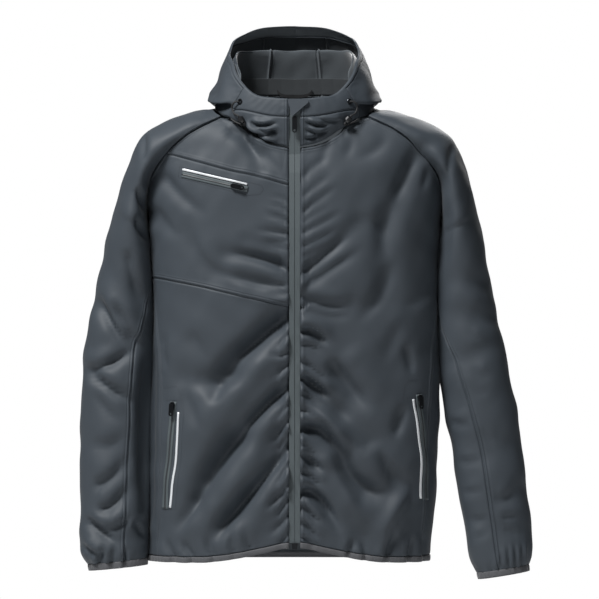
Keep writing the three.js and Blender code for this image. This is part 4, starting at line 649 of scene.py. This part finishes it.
RIPPLE_BEND = 1.3
RIPPLE_BEND_WAY = np.array([0.011, 0, 0.017])


def ripple(points):
    total = np.zeros(points.shape[:-1])
    for x, y, z, turn, high in zip(*RIPPLES.values()):
        bent = turn + RIPPLE_BEND * np.sin(points @ RIPPLE_BEND_WAY + turn)
        total += high * np.sin(points @ np.array([x, y, z]) + bent)
    return total


CREASE_FACING = (0.12, 0.4)


def dressed(points, normals, creased=1.0):
    x, z = points[..., 0], points[..., 2]
    flat_x, flat_z = x.ravel(), z.ravel()
    front = crease_lift(FRONT_CREASES, flat_x, flat_z).reshape(x.shape)
    back = crease_lift(BACK_CREASES, flat_x, flat_z).reshape(x.shape)
    facing = normals[..., 1]
    lift = front * smoothstep(-facing, *CREASE_FACING) + back * smoothstep(facing, *CREASE_FACING)
    return creased * lift + ripple(points)


# Meshes
CLOTH_THICKNESS = 1.5


def mesh_object(name, verts, faces, materials, material_of=None, smooth=True):
    mesh = bpy.data.meshes.new(name)
    if isinstance(faces, np.ndarray):
        faces = faces.tolist()
    mesh.from_pydata(np.asarray(verts).reshape(-1, 3) * MM, [], faces)
    for material in materials:
        mesh.materials.append(material)
    if material_of is not None:
        mesh.polygons.foreach_set("material_index", np.asarray(material_of, dtype=np.int32))
    mesh.polygons.foreach_set("use_smooth", np.full(len(mesh.polygons), smooth))
    mesh.update()
    obj = bpy.data.objects.new(name, mesh)
    bpy.context.scene.collection.objects.link(obj)
    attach(obj, "jacket")
    return obj


def grid_faces(rows, columns):
    i, j = np.meshgrid(np.arange(rows - 1), np.arange(columns - 1), indexing="ij")
    a = (i * columns + j).ravel()
    return np.stack([a, a + 1, a + 1 + columns, a + columns], -1)


# A wall between two grids of points: faces out on the outer grid, in on the inner, closed along its rim.
def wall_faces(outer, normals):
    rows, columns = outer.shape[:2]
    count = rows * columns
    out = grid_faces(rows, columns)
    facing = np.cross(outer[:-1, 1:] - outer[:-1, :-1], outer[1:, :-1] - outer[:-1, :-1])
    turned = (facing * normals[:-1, :-1]).sum() < 0
    if turned:
        out = out[:, ::-1]
    back = out[:, ::-1] + count
    edge = np.concatenate([
        np.arange(columns - 1), np.arange(rows - 1) * columns + columns - 1,
        np.arange(columns - 1, 0, -1) + (rows - 1) * columns, np.arange(rows - 1, 0, -1) * columns,
    ])
    ahead = np.roll(edge, -1)
    rim = np.stack([ahead, edge, edge + count, ahead + count], -1)
    if turned:
        rim = rim[:, ::-1]
    faces = np.concatenate([out, back, rim])
    looks = np.concatenate([np.zeros(len(out)), np.ones(len(back)), np.zeros(len(rim))])
    return faces, looks


# Distance along a line of points from its first, and what lies at given distances.
def run_along(points):
    return np.concatenate([[0], np.cumsum(np.linalg.norm(np.diff(points, axis=0), axis=-1))])


def interpolate(rows, keys, at):
    return np.stack([np.interp(at, keys, rows[:, axis]) for axis in range(3)], -1)


def distances(points):
    from_start = np.stack([run_along(row) for row in points])
    from_low = np.stack([run_along(points[:, k]) for k in range(points.shape[1])], 1)
    return {
        "start": from_start, "end": from_start[:, -1:] - from_start,
        "low": from_low, "high": from_low[-1:] - from_low,
    }


TOPSTITCHED, PLAIN, GATHERED = "topstitched", "plain", "gathered"
STITCH_ROWS = (1.7, 6.4)
WELT_WIDTH = 8.2
WELT_HEIGHT = 1.1
WELT_FADE = 1.2
GROOVE_DEPTH = 2.2
GROOVE_WIDTH = 1.5
THREAD_PULL = 1.25
THREAD_REACH = 1.2
PUCKER_HEIGHT = 0.22
PUCKER_AWAY = 9
PUCKER_WIDTH = 6
GATHER_HEIGHT = 0.55
GATHER_REACH = 20
GATHER_FALL = 1.5
# Waves along a seam, each bent to and fro by a slower one.
PUCKER_PITCH, PUCKER_BEND_PITCH, PUCKER_BEND = 2.6, 17, 2.4
GATHER_PITCH, GATHER_BEND_PITCH, GATHER_BEND = 2.1, 9, 1.8
SLOW_GATHER_PITCH, SLOW_GATHER_SHARE = 4.7, 0.7
PHASE_STEP = 1.7


# Relief along one edge: the turned-in edge dips into the seam, a topstitched one has a raised welt with
# its thread rows pulled in, and the cloth beside it puckers a little.
def seam_relief(distance, along, kind, phase):
    lift = -GROOVE_DEPTH * np.exp(-((distance / GROOVE_WIDTH) ** 2))
    pucker_bend = PUCKER_BEND * np.sin(along / PUCKER_BEND_PITCH + phase)
    pucker = np.sin(along / PUCKER_PITCH + pucker_bend + phase)
    lift += PUCKER_HEIGHT * pucker * np.exp(-(((distance - PUCKER_AWAY) / PUCKER_WIDTH) ** 2))
    if kind == GATHERED:
        fold = np.sin(along / GATHER_PITCH + GATHER_BEND * np.sin(along / GATHER_BEND_PITCH + phase))
        fold += SLOW_GATHER_SHARE * np.sin(along / SLOW_GATHER_PITCH + phase)
        lift += GATHER_HEIGHT * fold * np.exp(-((distance / GATHER_REACH) ** GATHER_FALL))
    if kind == TOPSTITCHED:
        lift += WELT_HEIGHT * (1 - smoothstep(distance, WELT_WIDTH - WELT_FADE, WELT_WIDTH + WELT_FADE))
        for row in STITCH_ROWS:
            lift -= THREAD_PULL * np.exp(-(((distance - row) / THREAD_REACH) ** 2))
    return lift


FINE_STEPS = (0.9, 1.7, 2.8, 4.2, 5.4, 6.4, 7.4, 8.4, 9.6)


# Shares of a length with fine steps beside its ends, where seams run, and even ones between.
def spread(length, step, fine_start=True):
    low = FINE_STEPS if fine_start else (0,)
    high = [length - d for d in reversed(FINE_STEPS)]
    count = max(2, round((high[0] - low[-1]) / step))
    between = np.linspace(low[-1], high[0], count + 1)
    inner = np.concatenate([low[:-1], between, high[1:]])
    return np.unique(np.concatenate([[0], inner, [length]])) / length


stitch_lines = []


# The line that lies `at` a distance from one edge of a panel, and the way it faces.
def edge_line(points, normals, distance, edge, at):
    if edge in ("low", "high"):
        points, normals, distance = points.swapaxes(0, 1), normals.swapaxes(0, 1), distance.T
    if edge in ("end", "high"):
        points, normals, distance = points[:, ::-1], normals[:, ::-1], distance[:, ::-1]
    line = [interpolate(row, way, at) for row, way in zip(points, distance)]
    facing = [interpolate(row, way, at) for row, way in zip(normals, distance)]
    return np.array(line), unit(np.array(facing))


# A panel of cloth: its outer skin from a surface of u and v with creases and seams, and a thin wall.
def cloth(name, surface, us, vs, looks, seams, base=0.0, creased=1.0):
    u, v = np.meshgrid(us, vs)
    points, normals = surface(u, v)
    away = distances(points)
    lift = dressed(points, normals, creased) + base
    for number, (edge, kind) in enumerate(seams.items()):
        along = away["low"] if edge in ("start", "end") else away["start"]
        lift = lift + seam_relief(away[edge], along, kind, PHASE_STEP * number + len(name))
    outer = points + normals * lift[..., None]
    inner = outer - normals * CLOTH_THICKNESS
    faces, look = wall_faces(outer, normals)
    obj = mesh_object(name + "_cloth", np.stack([outer, inner]), faces, looks, look)
    for edge, kind in seams.items():
        if kind == TOPSTITCHED:
            for row in STITCH_ROWS:
                stitch_lines.append(edge_line(outer, normals, away[edge], edge, row))
    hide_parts(name)


# Materials
def linear(*channels):
    share = np.array(channels) / 255
    return np.where(share <= 0.04045, share / 12.92, ((share + 0.055) / 1.055) ** 2.4)


# A procedural finish: colour mottled over `patch` and a bump of `grain`, both in metres, `relief` high.
SHEEN_ROUGHNESS = 0.35
PATCH_DETAIL = 4
GRAIN_DETAIL = 2


def finish(name, colour, roughness, patch=0.05, mottle=0.06, grain=0.0012, relief=0.0, metallic=0.0,
           sheen=0.0, specular=0.5):
    material = bpy.data.materials.new(name)
    material.use_nodes = True
    nodes, links = material.node_tree.nodes, material.node_tree.links
    shader = nodes["Principled BSDF"]
    for socket, value in (("Roughness", roughness), ("Metallic", metallic), ("Sheen Weight", sheen),
                          ("Sheen Roughness", SHEEN_ROUGHNESS), ("Specular IOR Level", specular)):
        shader.inputs[socket].default_value = value
    place = nodes.new("ShaderNodeTexCoord")
    patches = nodes.new("ShaderNodeTexNoise")
    patches.inputs["Scale"].default_value = 1 / patch
    patches.inputs["Detail"].default_value = PATCH_DETAIL
    shade = nodes.new("ShaderNodeMix")
    shade.data_type = "RGBA"
    base = linear(*colour)
    shade.inputs["A"].default_value = tuple(base * (1 - mottle)) + (1,)
    shade.inputs["B"].default_value = tuple(base * (1 + mottle)) + (1,)
    links.new(place.outputs["Object"], patches.inputs["Vector"])
    links.new(patches.outputs["Fac"], shade.inputs["Factor"])
    links.new(shade.outputs["Result"], shader.inputs["Base Color"])
    if relief:
        grains = nodes.new("ShaderNodeTexNoise")
        grains.inputs["Scale"].default_value = 1 / grain
        grains.inputs["Detail"].default_value = GRAIN_DETAIL
        bump = nodes.new("ShaderNodeBump")
        bump.inputs["Strength"].default_value = 1
        bump.inputs["Distance"].default_value = relief
        links.new(place.outputs["Object"], grains.inputs["Vector"])
        links.new(grains.outputs["Fac"], bump.inputs["Height"])
        links.new(bump.outputs["Normal"], shader.inputs["Normal"])
    return material


SHELL = finish("softshell", (54, 60, 66), 0.6, grain=0.006, relief=0.00006, sheen=0.05, specular=0.27)
FLEECE = finish("fleece", (74, 79, 83), 0.95, grain=0.0016, relief=0.0002, sheen=0.6, specular=0.2)
# The inner face of the hood's rim band is painted far paler than the shell. This is painted light, standing
# in for the light that does not reach inside the hood.
RIM_FACING_PAINTED_LIGHT = finish("rim facing painted light", (122, 129, 135), 0.7, grain=0.006, relief=0.00006)
BINDING = finish("elastic binding", (72, 73, 76), 0.8, grain=0.0012, relief=0.0001, sheen=0.2)
TAPE = finish("zip tape", (66, 74, 77), 0.7, grain=0.001, relief=0.0001)
COIL = finish("zip coil", (40, 44, 47), 0.45)
THREAD = finish("thread", (36, 40, 45), 0.7)
REFLECTIVE = finish("reflective tape", (205, 208, 211), 0.3, mottle=0.02, metallic=0.15)
METAL = finish("gunmetal", (46, 48, 51), 0.28, metallic=0.85)
PLASTIC = finish("black plastic", (22, 23, 25), 0.3)
CORD = finish("black cord", (26, 27, 29), 0.75, grain=0.001, relief=0.0002)
NECK_BAND = finish("neck tape", (58, 62, 65), 0.85, grain=0.001, relief=0.0001)

NODE_LOOKS = (
    (("slider", "pull_tab", "zip_bottom", "eyelet"), METAL),
    ("cord_lock", PLASTIC),
    (("hem_binding", "cuff_binding"), BINDING),
    (("zip_tape", "pocket_zip"), TAPE),
    ("reflective", REFLECTIVE),
    (("hood_cord", "hanging_loop"), CORD),
    ("neck_band", NECK_BAND),
)
for node_name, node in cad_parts.items():
    look = next((look for starts, look in NODE_LOOKS if node_name.startswith(starts)), SHELL)
    for place in node.material_slots:
        place.material = look


# Camera, light and floor. The camera stands far off, as a long lens does, so near and far parts keep size.
FRAME_WIDTH = 0.982
CAMERA_DISTANCE = 9.0
CAMERA_X = 0.008
CAMERA_Z = -0.3108
CAMERA_TO_FRONT = CAMERA_DISTANCE - 0.06
camera_data = bpy.data.cameras.new("camera")
camera_data.lens = CAMERA_TO_FRONT * camera_data.sensor_width / FRAME_WIDTH
camera_data.clip_end = 4 * CAMERA_DISTANCE
camera = bpy.data.objects.new("camera", camera_data)
camera.location = (CAMERA_X, -CAMERA_DISTANCE, CAMERA_Z)
camera.rotation_euler = (math.pi / 2, 0, 0)
bpy.context.scene.collection.objects.link(camera)
bpy.context.scene.camera = camera
bpy.context.scene.view_settings.view_transform = "Standard"


def area_light(name, place, aim, size, power):
    data = bpy.data.lights.new(name, "AREA")
    data.size = size
    data.energy = power
    light = bpy.data.objects.new(name, data)
    light.location = place
    light.rotation_euler = (Vector(aim) - light.location).to_track_quat("-Z", "Y").to_euler()
    bpy.context.scene.collection.objects.link(light)


area_light("key", (-1.7, -1.9, 3.3), (0, 0, -0.4), 1.2, 345)
area_light("front", (1.2, -3.8, 0.5), (0, 0, -0.35), 1.4, 11)
area_light("behind", (0.9, 3.4, 1.4), (0, 0, -0.4), 1.6, 60)
# Seen straight, the world is white; it lights the object only a little.
WORLD_LIGHT = 0.03
world = bpy.data.worlds.new("studio")
world.use_nodes = True
world_nodes, world_links = world.node_tree.nodes, world.node_tree.links
dim = world_nodes["Background"]
bright = world_nodes.new("ShaderNodeBackground")
for background, strength in ((dim, WORLD_LIGHT), (bright, 1)):
    background.inputs["Color"].default_value = (1, 1, 1, 1)
    background.inputs["Strength"].default_value = strength
ray = world_nodes.new("ShaderNodeLightPath")
either = world_nodes.new("ShaderNodeMixShader")
world_links.new(ray.outputs["Is Camera Ray"], either.inputs["Fac"])
world_links.new(dim.outputs["Background"], either.inputs[1])
world_links.new(bright.outputs["Background"], either.inputs[2])
world_links.new(either.outputs["Shader"], world_nodes["World Output"].inputs["Surface"])
bpy.context.scene.world = world

FLOOR_Z = -1.0
FLOOR_HALF = 3.0
FLOOR_CORNERS = [(x * FLOOR_HALF, y * FLOOR_HALF, FLOOR_Z) for x, y in ((-1, -1), (1, -1), (1, 1), (-1, 1))]
floor_mesh = bpy.data.meshes.new("floor")
floor_mesh.from_pydata(FLOOR_CORNERS, [], [(0, 1, 2, 3)])
floor_mesh.materials.append(finish("pale floor", (226, 227, 228), 0.8, patch=0.4, mottle=0.01))
floor = bpy.data.objects.new("floor", floor_mesh)
bpy.context.scene.collection.objects.link(floor)


# Tubes
TUBE_SIDES = 10
# No cord runs this way, so it gives each ring of a tube its first side.
TUBE_ASIDE = np.array([0.13, 0.97, 0.21])


def tube(points, radius):
    ahead = unit(np.gradient(points, axis=0))
    across = unit(np.cross(ahead, TUBE_ASIDE))
    up = np.cross(ahead, across)
    turn = np.linspace(0, 2 * math.pi, TUBE_SIDES, endpoint=False)
    ring = across[:, None] * np.cos(turn)[:, None] + up[:, None] * np.sin(turn)[:, None]
    verts = points[:, None] + ring * radius
    faces = []
    for i in range(len(points) - 1):
        low, high = i * TUBE_SIDES, (i + 1) * TUBE_SIDES
        for j in range(TUBE_SIDES):
            k = (j + 1) % TUBE_SIDES
            faces.append((low + j, low + k, high + k, high + j))
    faces.append(tuple(range(TUBE_SIDES))[::-1])
    faces.append(tuple(range((len(points) - 1) * TUBE_SIDES, len(points) * TUBE_SIDES)))
    return verts.reshape(-1, 3), faces


def smooth_path(points, count):
    points = np.asarray(points, dtype=float)
    keys = run_along(points)
    at = np.linspace(0, keys[-1], count)
    return np.stack([curve_through(keys, points[:, axis], at) for axis in range(3)], -1)


# Hood cords: the stretch from the eyelet to the lock, the lock, and the free tail below it.
CORD_RADIUS = 1.5
CORD_POINTS = 24
LOCK = {"station": 7.8, "way": 2.05, "out": 9.4, "length": 11}


def hood_offset(side, station, way, out):
    point, normal = hood_point(side, station, way)
    return point + normal * out


for side, name in SIDE_NAMES.items():
    route = [hood_offset(side, *row) for row in zip(*CORD_ROUTE.values())]
    tail = [hood_offset(side, *row) for row in zip(*CORD_TAIL.values())]
    lock_at = hood_offset(side, LOCK["station"], LOCK["way"], LOCK["out"])
    axis = unit(tail[0] - route[-1])
    lock_end = LOCK["length"] / 2 + SEAM_GAP
    route += [lock_at - axis * (lock_end + 2 * CORD_RADIUS), lock_at - axis * lock_end]
    tail = [lock_at + axis * lock_end, lock_at + axis * (lock_end + 2 * CORD_RADIUS)] + tail
    for piece_name, points, far_end, carried in (
        ("hood_cord_" + name, route, "fitting", (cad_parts["cord_lock_" + name],)),
        ("hood_cord_tail_" + name, tail, "bare", ()),
    ):
        path = smooth_path(points, CORD_POINTS)
        verts, faces = tube(path, CORD_RADIUS)
        cord = mesh_object(piece_name + "_braid", verts, faces, [CORD])
        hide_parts(piece_name)

# Cloth panels
CLOTH_STEP = 4.6
BACK_STEP = 5.4
PANEL_LOOKS = [SHELL, FLEECE]
# Rough widths and heights of the panels, which set how many steps their meshes have.
FRONT_WIDTH = 242
BACK_WIDTH, BACK_HEIGHT = 500, 750
SIDE_WIDTH, SIDE_HEIGHT = 110, 520
OUTER_SLEEVE_WIDTH, OUTER_SLEEVE_LENGTH = 260, 780
UNDER_SLEEVE_WIDTH, UNDER_SLEEVE_LENGTH = 120, 540
# Front panels: side, lower and upper edge with its shift, height, and the seams beside the two upright ones.
FRONT_EDGES = {"start": TOPSTITCHED, "end": TOPSTITCHED}
fronts = {
    "front_right_yoke": (-1, (YOKE_SEAM, -SEAM_LAP), (FRONT_NECK_EDGE, 0), 60,
                         {"low": TOPSTITCHED, "high": TOPSTITCHED}),
    "front_right_chest": (-1, (CHEST_SEAM, -SEAM_LAP), (YOKE_SEAM, SEAM_LAP), 196,
                          {"low": TOPSTITCHED, "high": PLAIN}),
    "front_right_lower": (-1, (FRONT_HEM, 0), (CHEST_SEAM, SEAM_LAP), 408, {"high": PLAIN, "low": PLAIN}),
    "front_left": (1, (FRONT_HEM, 0), (FRONT_NECK_EDGE, 0), 690, {"high": TOPSTITCHED, "low": PLAIN}),
}
for name, (side, low, high, tall, seams) in fronts.items():
    cloth(name, front_panel(side, low, high), spread(FRONT_WIDTH, CLOTH_STEP), spread(tall, CLOTH_STEP),
          PANEL_LOOKS, FRONT_EDGES | seams)

back_across = spread(BACK_WIDTH, BACK_STEP) * 2 - 1
cloth("back_panel", back_surface, back_across, spread(BACK_HEIGHT, BACK_STEP), PANEL_LOOKS,
      {"start": TOPSTITCHED, "end": TOPSTITCHED, "high": PLAIN, "low": PLAIN})
for side, name in SIDE_NAMES.items():
    cloth("side_panel_" + name, side_surface(side), spread(SIDE_WIDTH, CLOTH_STEP),
          spread(SIDE_HEIGHT, CLOTH_STEP), PANEL_LOOKS, {"start": PLAIN, "end": PLAIN, "low": PLAIN})


# Sleeves, laid out from seam to seam round the outside and round the inside.
SLEEVE_GAP_TURN = -0.0008


def outer_sleeve(side, name):
    def surface(u, station):
        gap = np.where(station > UNDERARM_STATION, SLEEVE_GAP_TURN, 0)
        seam = seam_turn(station, name) + gap
        return sleeve_point(side, station, mix(seam, 1 - seam, u))

    return surface


def under_sleeve(side, name):
    def surface(u, station):
        seam = seam_turn(station, name) - SLEEVE_GAP_TURN
        turn = mix(-seam, seam, u)
        return sleeve_point(side, station, np.where(turn < 0, 1 + turn, turn))

    return surface


UNDER_TOP_BELOW = 0.6
UNDER_TOP_STATION = UNDERARM_STATION + UNDER_TOP_BELOW
for side, name in SIDE_NAMES.items():
    cloth("sleeve_outer_" + name, outer_sleeve(side, name), spread(OUTER_SLEEVE_WIDTH, CLOTH_STEP),
          spread(OUTER_SLEEVE_LENGTH, CLOTH_STEP) * CUFF_STATION, PANEL_LOOKS,
          {"start": TOPSTITCHED, "end": TOPSTITCHED, "high": GATHERED})
    cloth("sleeve_under_" + name, under_sleeve(side, name), spread(UNDER_SLEEVE_WIDTH, CLOTH_STEP),
          mix(UNDER_TOP_STATION, CUFF_STATION, spread(UNDER_SLEEVE_LENGTH, CLOTH_STEP)), PANEL_LOOKS,
          {"start": PLAIN, "end": PLAIN, "high": GATHERED})


# Behind each raglan seam lies its turned-in cloth.
ALLOWANCE_WIDTH = 14
ALLOWANCE_DEEP = 1.8
ALLOWANCE_THICKNESS = 0.8
ALLOWANCE_ACROSS = np.linspace(-0.5, 0.5, 5)
ALLOWANCE_ALONG = np.linspace(0, 1, 60)


def raglan_allowance(side, raglan, front):
    def surface(u, v):
        z = mix(UNDERARM_Z, raglan["z"].max() - 1, v)
        angle = seam_angle(side, z, raglan) + u * ALLOWANCE_WIDTH / SEAM_ARM
        point, normal = body_point(side, angle if front else math.pi - angle, z)
        return point - normal * ALLOWANCE_DEEP, normal

    return surface


# Hood
def hood_both(u, way):
    return hood_point(np.where(u < 0, -1.0, 1.0), np.abs(u), way)


def chin_way(station):
    return column(CHIN_SEAM, "station", station, "way")


# A piece of one side of the hood between two ways, each a function of the station.
def hood_piece(side, low, high):
    def surface(station, v):
        return hood_point(side, station, mix(low(station), high(station), v))

    return surface


HOOD_STEP = 4.4
HOOD_LENGTH = 330
HOOD_CENTRE_WIDTH = 110
HOOD_SIDE_WIDTH = 300
CHIN_STEP = 2.6
CHIN_LENGTH, CHIN_HEIGHT = 100, 36
CHIN_CREASED = 0.3
NECK_STEP = 2.2
NECK_HEIGHT = 46
RIM_STEP = 3
RIM_LENGTH, RIM_HEIGHT = 760, 20
hood_ways = mix(NECK_WAY, RIM_BAND_WAY - WAY_GAP, spread(HOOD_LENGTH, HOOD_STEP))
centre_stations = (spread(HOOD_CENTRE_WIDTH, HOOD_STEP) * 2 - 1) * (CENTRE_PANEL_STATION - STATION_GAP)
side_stations = mix(CENTRE_PANEL_STATION + STATION_GAP, CHIN_STATION - STATION_GAP,
                    spread(HOOD_SIDE_WIDTH, HOOD_STEP))
front_stations = mix(CHIN_STATION + STATION_GAP, FRONT_STATION, spread(CHIN_LENGTH, CHIN_STEP))
rim_stations = (spread(RIM_LENGTH, HOOD_STEP) * 2 - 1) * (CHIN_STATION - STATION_GAP)
rim_ways = mix(RIM_BAND_WAY + WAY_GAP, RIM_WAY, spread(RIM_HEIGHT, RIM_STEP, fine_start=False))
BAND_SEAMS = {"low": PLAIN, "high": PLAIN, "end": TOPSTITCHED}
cloth("hood_centre", hood_both, centre_stations, hood_ways, PANEL_LOOKS,
      {"start": TOPSTITCHED, "end": TOPSTITCHED, "low": PLAIN, "high": PLAIN}, base=WALL, creased=0)
for side, name in SIDE_NAMES.items():
    cloth("hood_side_" + name, lambda u, way, side=side: hood_point(side, u, way), side_stations, hood_ways,
          PANEL_LOOKS, {"start": PLAIN, "end": PLAIN, "low": PLAIN, "high": PLAIN}, base=WALL, creased=0)
    cloth("neck_front_" + name, hood_piece(side, lambda k: NECK_WAY, lambda k: chin_way(k) - WAY_GAP),
          front_stations, spread(NECK_HEIGHT, NECK_STEP), PANEL_LOOKS, BAND_SEAMS, base=WALL)
    cloth("chin_band_" + name, hood_piece(side, lambda k: chin_way(k) + WAY_GAP, lambda k: RIM_WAY),
          front_stations, spread(CHIN_HEIGHT, CHIN_STEP), PANEL_LOOKS, BAND_SEAMS, base=WALL,
          creased=CHIN_CREASED)
# The rim band's inner face takes the pale colour of painted light.
cloth("hood_rim_band", hood_both, rim_stations, rim_ways, [SHELL, RIM_FACING_PAINTED_LIGHT], {"high": PLAIN}, base=WALL,
      creased=0)


# Pockets: the zip's tape with its coil, the reflective edge, and stitching round the opening, laid on the
# dressed front.
def on_front(x, z, out):
    side = np.where(x < 0, -1.0, 1.0)
    point, normal = body_point(side, angle_of_x(side, x, z), z)
    return point + normal * (dressed(point, normal) + out)[..., None], normal


LINE_STEP = 0.02


def band_surface(line, width, out):
    def surface(u, v):
        def place(along, name):
            return column(line, "along", np.clip(along, 0, 1), name)

        x, z = place(v, "x"), place(v, "z")
        run_x, run_z = (place(v + LINE_STEP, name) - place(v - LINE_STEP, name) for name in "xz")
        length = np.hypot(run_x, run_z)
        return on_front(x - u * width * run_z / length, z + u * width * run_x / length, out)

    return surface


def band(name, node, surface, us, vs, thickness, materials, bulge=0.0):
    u, v = np.meshgrid(us, vs)
    points, normals = surface(u, v)
    points = points + normals * (bulge * (1 - (2 * u) ** 2))[..., None]
    faces, look = wall_faces(points, normals)
    verts = np.concatenate([points.reshape(-1, 3), (points - normals * thickness).reshape(-1, 3)])
    obj = mesh_object(name, verts, faces, materials)
    if node:
        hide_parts(node)


for side, name in SIDE_NAMES.items():
    for place, raglan in (("front", RAGLAN_FRONT), ("back", RAGLAN_BACK)):
        band("raglan_allowance_" + place + "_" + name, None, raglan_allowance(side, raglan, place == "front"),
             ALLOWANCE_ACROSS, ALLOWANCE_ALONG, ALLOWANCE_THICKNESS, [SHELL])

POCKETS = {
    "chest": (CHEST_ZIP, CHEST_STRIP),
    "hand_right": (HAND_ZIP_RIGHT, HAND_STRIP_RIGHT),
    "hand_left": (HAND_ZIP_LEFT, HAND_STRIP_LEFT),
}
TAPE_OUT, TAPE_WIDTH, TAPE_THICKNESS = 0.9, 9.5, 1.4
COIL_OUT, COIL_WIDTH, COIL_THICKNESS, COIL_BULGE = TAPE_OUT + 0.3, 2.4, 1.2, 0.5
STRIP_OUT, STRIP_WIDTH, STRIP_THICKNESS, STRIP_BULGE = 1.3, 3.2, 1.6, 0.3
BAND_ACROSS = np.linspace(-0.5, 0.5, 7)
BAND_ALONG = np.linspace(0, 1, 44)
for name, (zip_line, strip_line) in POCKETS.items():
    band("pocket_tape_" + name, "pocket_zip_" + name, band_surface(zip_line, TAPE_WIDTH, TAPE_OUT),
         BAND_ACROSS, BAND_ALONG, TAPE_THICKNESS, [TAPE])
    band("pocket_coil_" + name, None, band_surface(zip_line, COIL_WIDTH, COIL_OUT),
         BAND_ACROSS, BAND_ALONG, COIL_THICKNESS, [COIL], bulge=COIL_BULGE)
    band("reflective_edge_" + name, "reflective_" + name, band_surface(strip_line, STRIP_WIDTH, STRIP_OUT),
         BAND_ACROSS, BAND_ALONG, STRIP_THICKNESS, [REFLECTIVE], bulge=STRIP_BULGE)

# Stitching round the pockets, as bent lines of corners in photo pixels.
POCKET_STITCHING = {
    "chest": [(180, 167), (249, 183), (261, 186), (264, 190), (260, 195), (248, 196), (179, 178), (180, 167)],
    "hand right": [(163, 388), (176, 386), (180, 394), (184, 414), (181, 460), (175, 509), (163, 509)],
    "hand right end": [(165, 400), (180, 400)],
    "hand left": [(403, 400), (404, 384), (409, 380), (419, 380), (424, 384), (426, 412), (428, 466),
                  (426, 503), (412, 505)],
    "hand left end": [(405, 397), (424, 397)],
}
STITCHING_OUT = 0.25
STITCHING_STEP = 2
for corners in POCKET_STITCHING.values():
    x, z = from_pixels(*np.array(corners, dtype=float).T)
    keys = run_along(np.stack([x, z], -1))
    at = np.linspace(0, keys[-1], int(keys[-1] / STITCHING_STEP))
    stitch_lines.append(on_front(np.interp(at, keys, x), np.interp(at, keys, z), STITCHING_OUT))

# Elastic binding round the hem and the cuffs, following the dressed cloth above it.
BINDING_THICKNESS = 2.6
BINDING_OUT = 0.7
BINDING_BULGE = 0.6
BINDING_ACROSS = np.linspace(-0.5, 0.5, 6)
RIB_HEIGHT, RIB_PITCH = 0.25, 0.9
FRONT_HEM_STEPS, BACK_HEM_STEPS, CUFF_STEPS = 150, 280, 190


def binding(place, name, surface, along):
    band(place + "_elastic_" + name, place + "_binding_" + name, surface, BINDING_ACROSS, along,
         BINDING_THICKNESS, [BINDING], bulge=BINDING_BULGE)


def hem_height(angle, x):
    return np.where(np.cos(angle) > 0, column(FRONT_HEM, "x", x, "z"), BODY_BOTTOM_Z)


def hem_surface(side_of, angle_of):
    def surface(v, u):
        side, angle = side_of(u), angle_of(u)
        x = half_width(side, BODY_BOTTOM_Z) * np.abs(np.sin(angle)) ** (2 / BODY_POWER)
        edge = hem_height(angle, x)
        point, normal = body_point(side, angle, edge + SEAM_LAP - BINDING_HEIGHT * (v + 0.5))
        held, facing = body_point(side, angle, edge)
        rib = RIB_HEIGHT * np.sin(x / RIB_PITCH)
        return point + normal * (dressed(held, facing) + rib + BINDING_OUT)[..., None], normal

    return surface


for side, name in SIDE_NAMES.items():
    first = float(angle_of_x(side, FRONT_EDGE, BODY_BOTTOM_Z))
    hem = hem_surface(lambda u, side=side: np.full_like(u, side),
                      lambda u, first=first: mix(first, math.pi / 2, u))
    binding("hem", name, hem, np.linspace(0, 1, FRONT_HEM_STEPS))
hem = hem_surface(lambda u: np.where(u < 0, -1.0, 1.0), lambda u: math.pi - np.abs(u) * math.pi / 2)
binding("hem", "back", hem, np.linspace(-1, 1, BACK_HEM_STEPS))

CUFF_LAP = 2.2
CUFF_GATHER = 0.45
CUFF_GATHERS, CUFF_BUNCHES = 190, 40


def cuff_surface(side):
    name = SIDE_NAMES[side]
    top, low = (np.array([side * line[name + "X"][-1], SLEEVE_TOP["y"][-1], line[name + "Z"][-1]])
                for line in (SLEEVE_TOP, SLEEVE_INNER))
    run = unit(top - low)
    down = np.array([run[2], 0, -run[0]])
    down = -down if down[2] > 0 else down
    middle = (top + low) / 2

    def surface(v, turn):
        turn = np.where(turn >= 1, 0, turn)
        end, normal = sleeve_point(side, np.full_like(turn, CUFF_STATION), turn)
        out = end - middle
        out = unit(out - (out @ down)[..., None] * down)
        gather = CUFF_GATHER * np.sin(turn * CUFF_GATHERS + 2 * np.sin(turn * CUFF_BUNCHES))
        lift = dressed(end, normal) + gather * smoothstep(0.5 - v, 0, 1) + BINDING_OUT
        drop = mix(-CUFF_LAP, BINDING_HEIGHT, v + 0.5)
        return end + down * drop[..., None] + out * lift[..., None], out

    return surface


for side, name in SIDE_NAMES.items():
    binding("cuff", name, cuff_surface(side), np.linspace(0, 1, CUFF_STEPS))

# Thread: each stitch is a small spindle, pulled a little into the cloth.
STITCH_PITCH = 3.4
STITCH = np.array([(1.3, 0, 0), (-1.3, 0, 0), (0, 0.3, 0), (0, -0.3, 0), (0, 0, 0.32), (0, 0, -0.3)])
STITCH_FACES = np.array([
    (0, 2, 4), (2, 1, 4), (1, 3, 4), (3, 0, 4), (2, 0, 5), (1, 2, 5), (3, 1, 5), (0, 3, 5),
])


def stitches(lines):
    verts = []
    for line, facing in lines:
        keys = run_along(line)
        count = int(keys[-1] / STITCH_PITCH)
        if count < 2:
            continue
        at = (np.arange(count) + 0.5) * keys[-1] / count
        middle = interpolate(line, keys, at)
        along = unit(interpolate(line, keys, at + 1) - interpolate(line, keys, at - 1))
        out = unit(interpolate(facing, keys, at))
        across = np.cross(out, along)
        basis = np.stack([along, across, out], 1)
        verts.append(middle[:, None] + np.einsum("ij,njk->nik", STITCH, basis))
    verts = np.concatenate(verts)
    faces = STITCH_FACES[None] + len(STITCH) * np.arange(len(verts))[:, None, None]
    return verts.reshape(-1, 3), faces.reshape(-1, 3)


verts, faces = stitches(stitch_lines)
thread = mesh_object("topstitching", verts, faces, [THREAD], smooth=False)
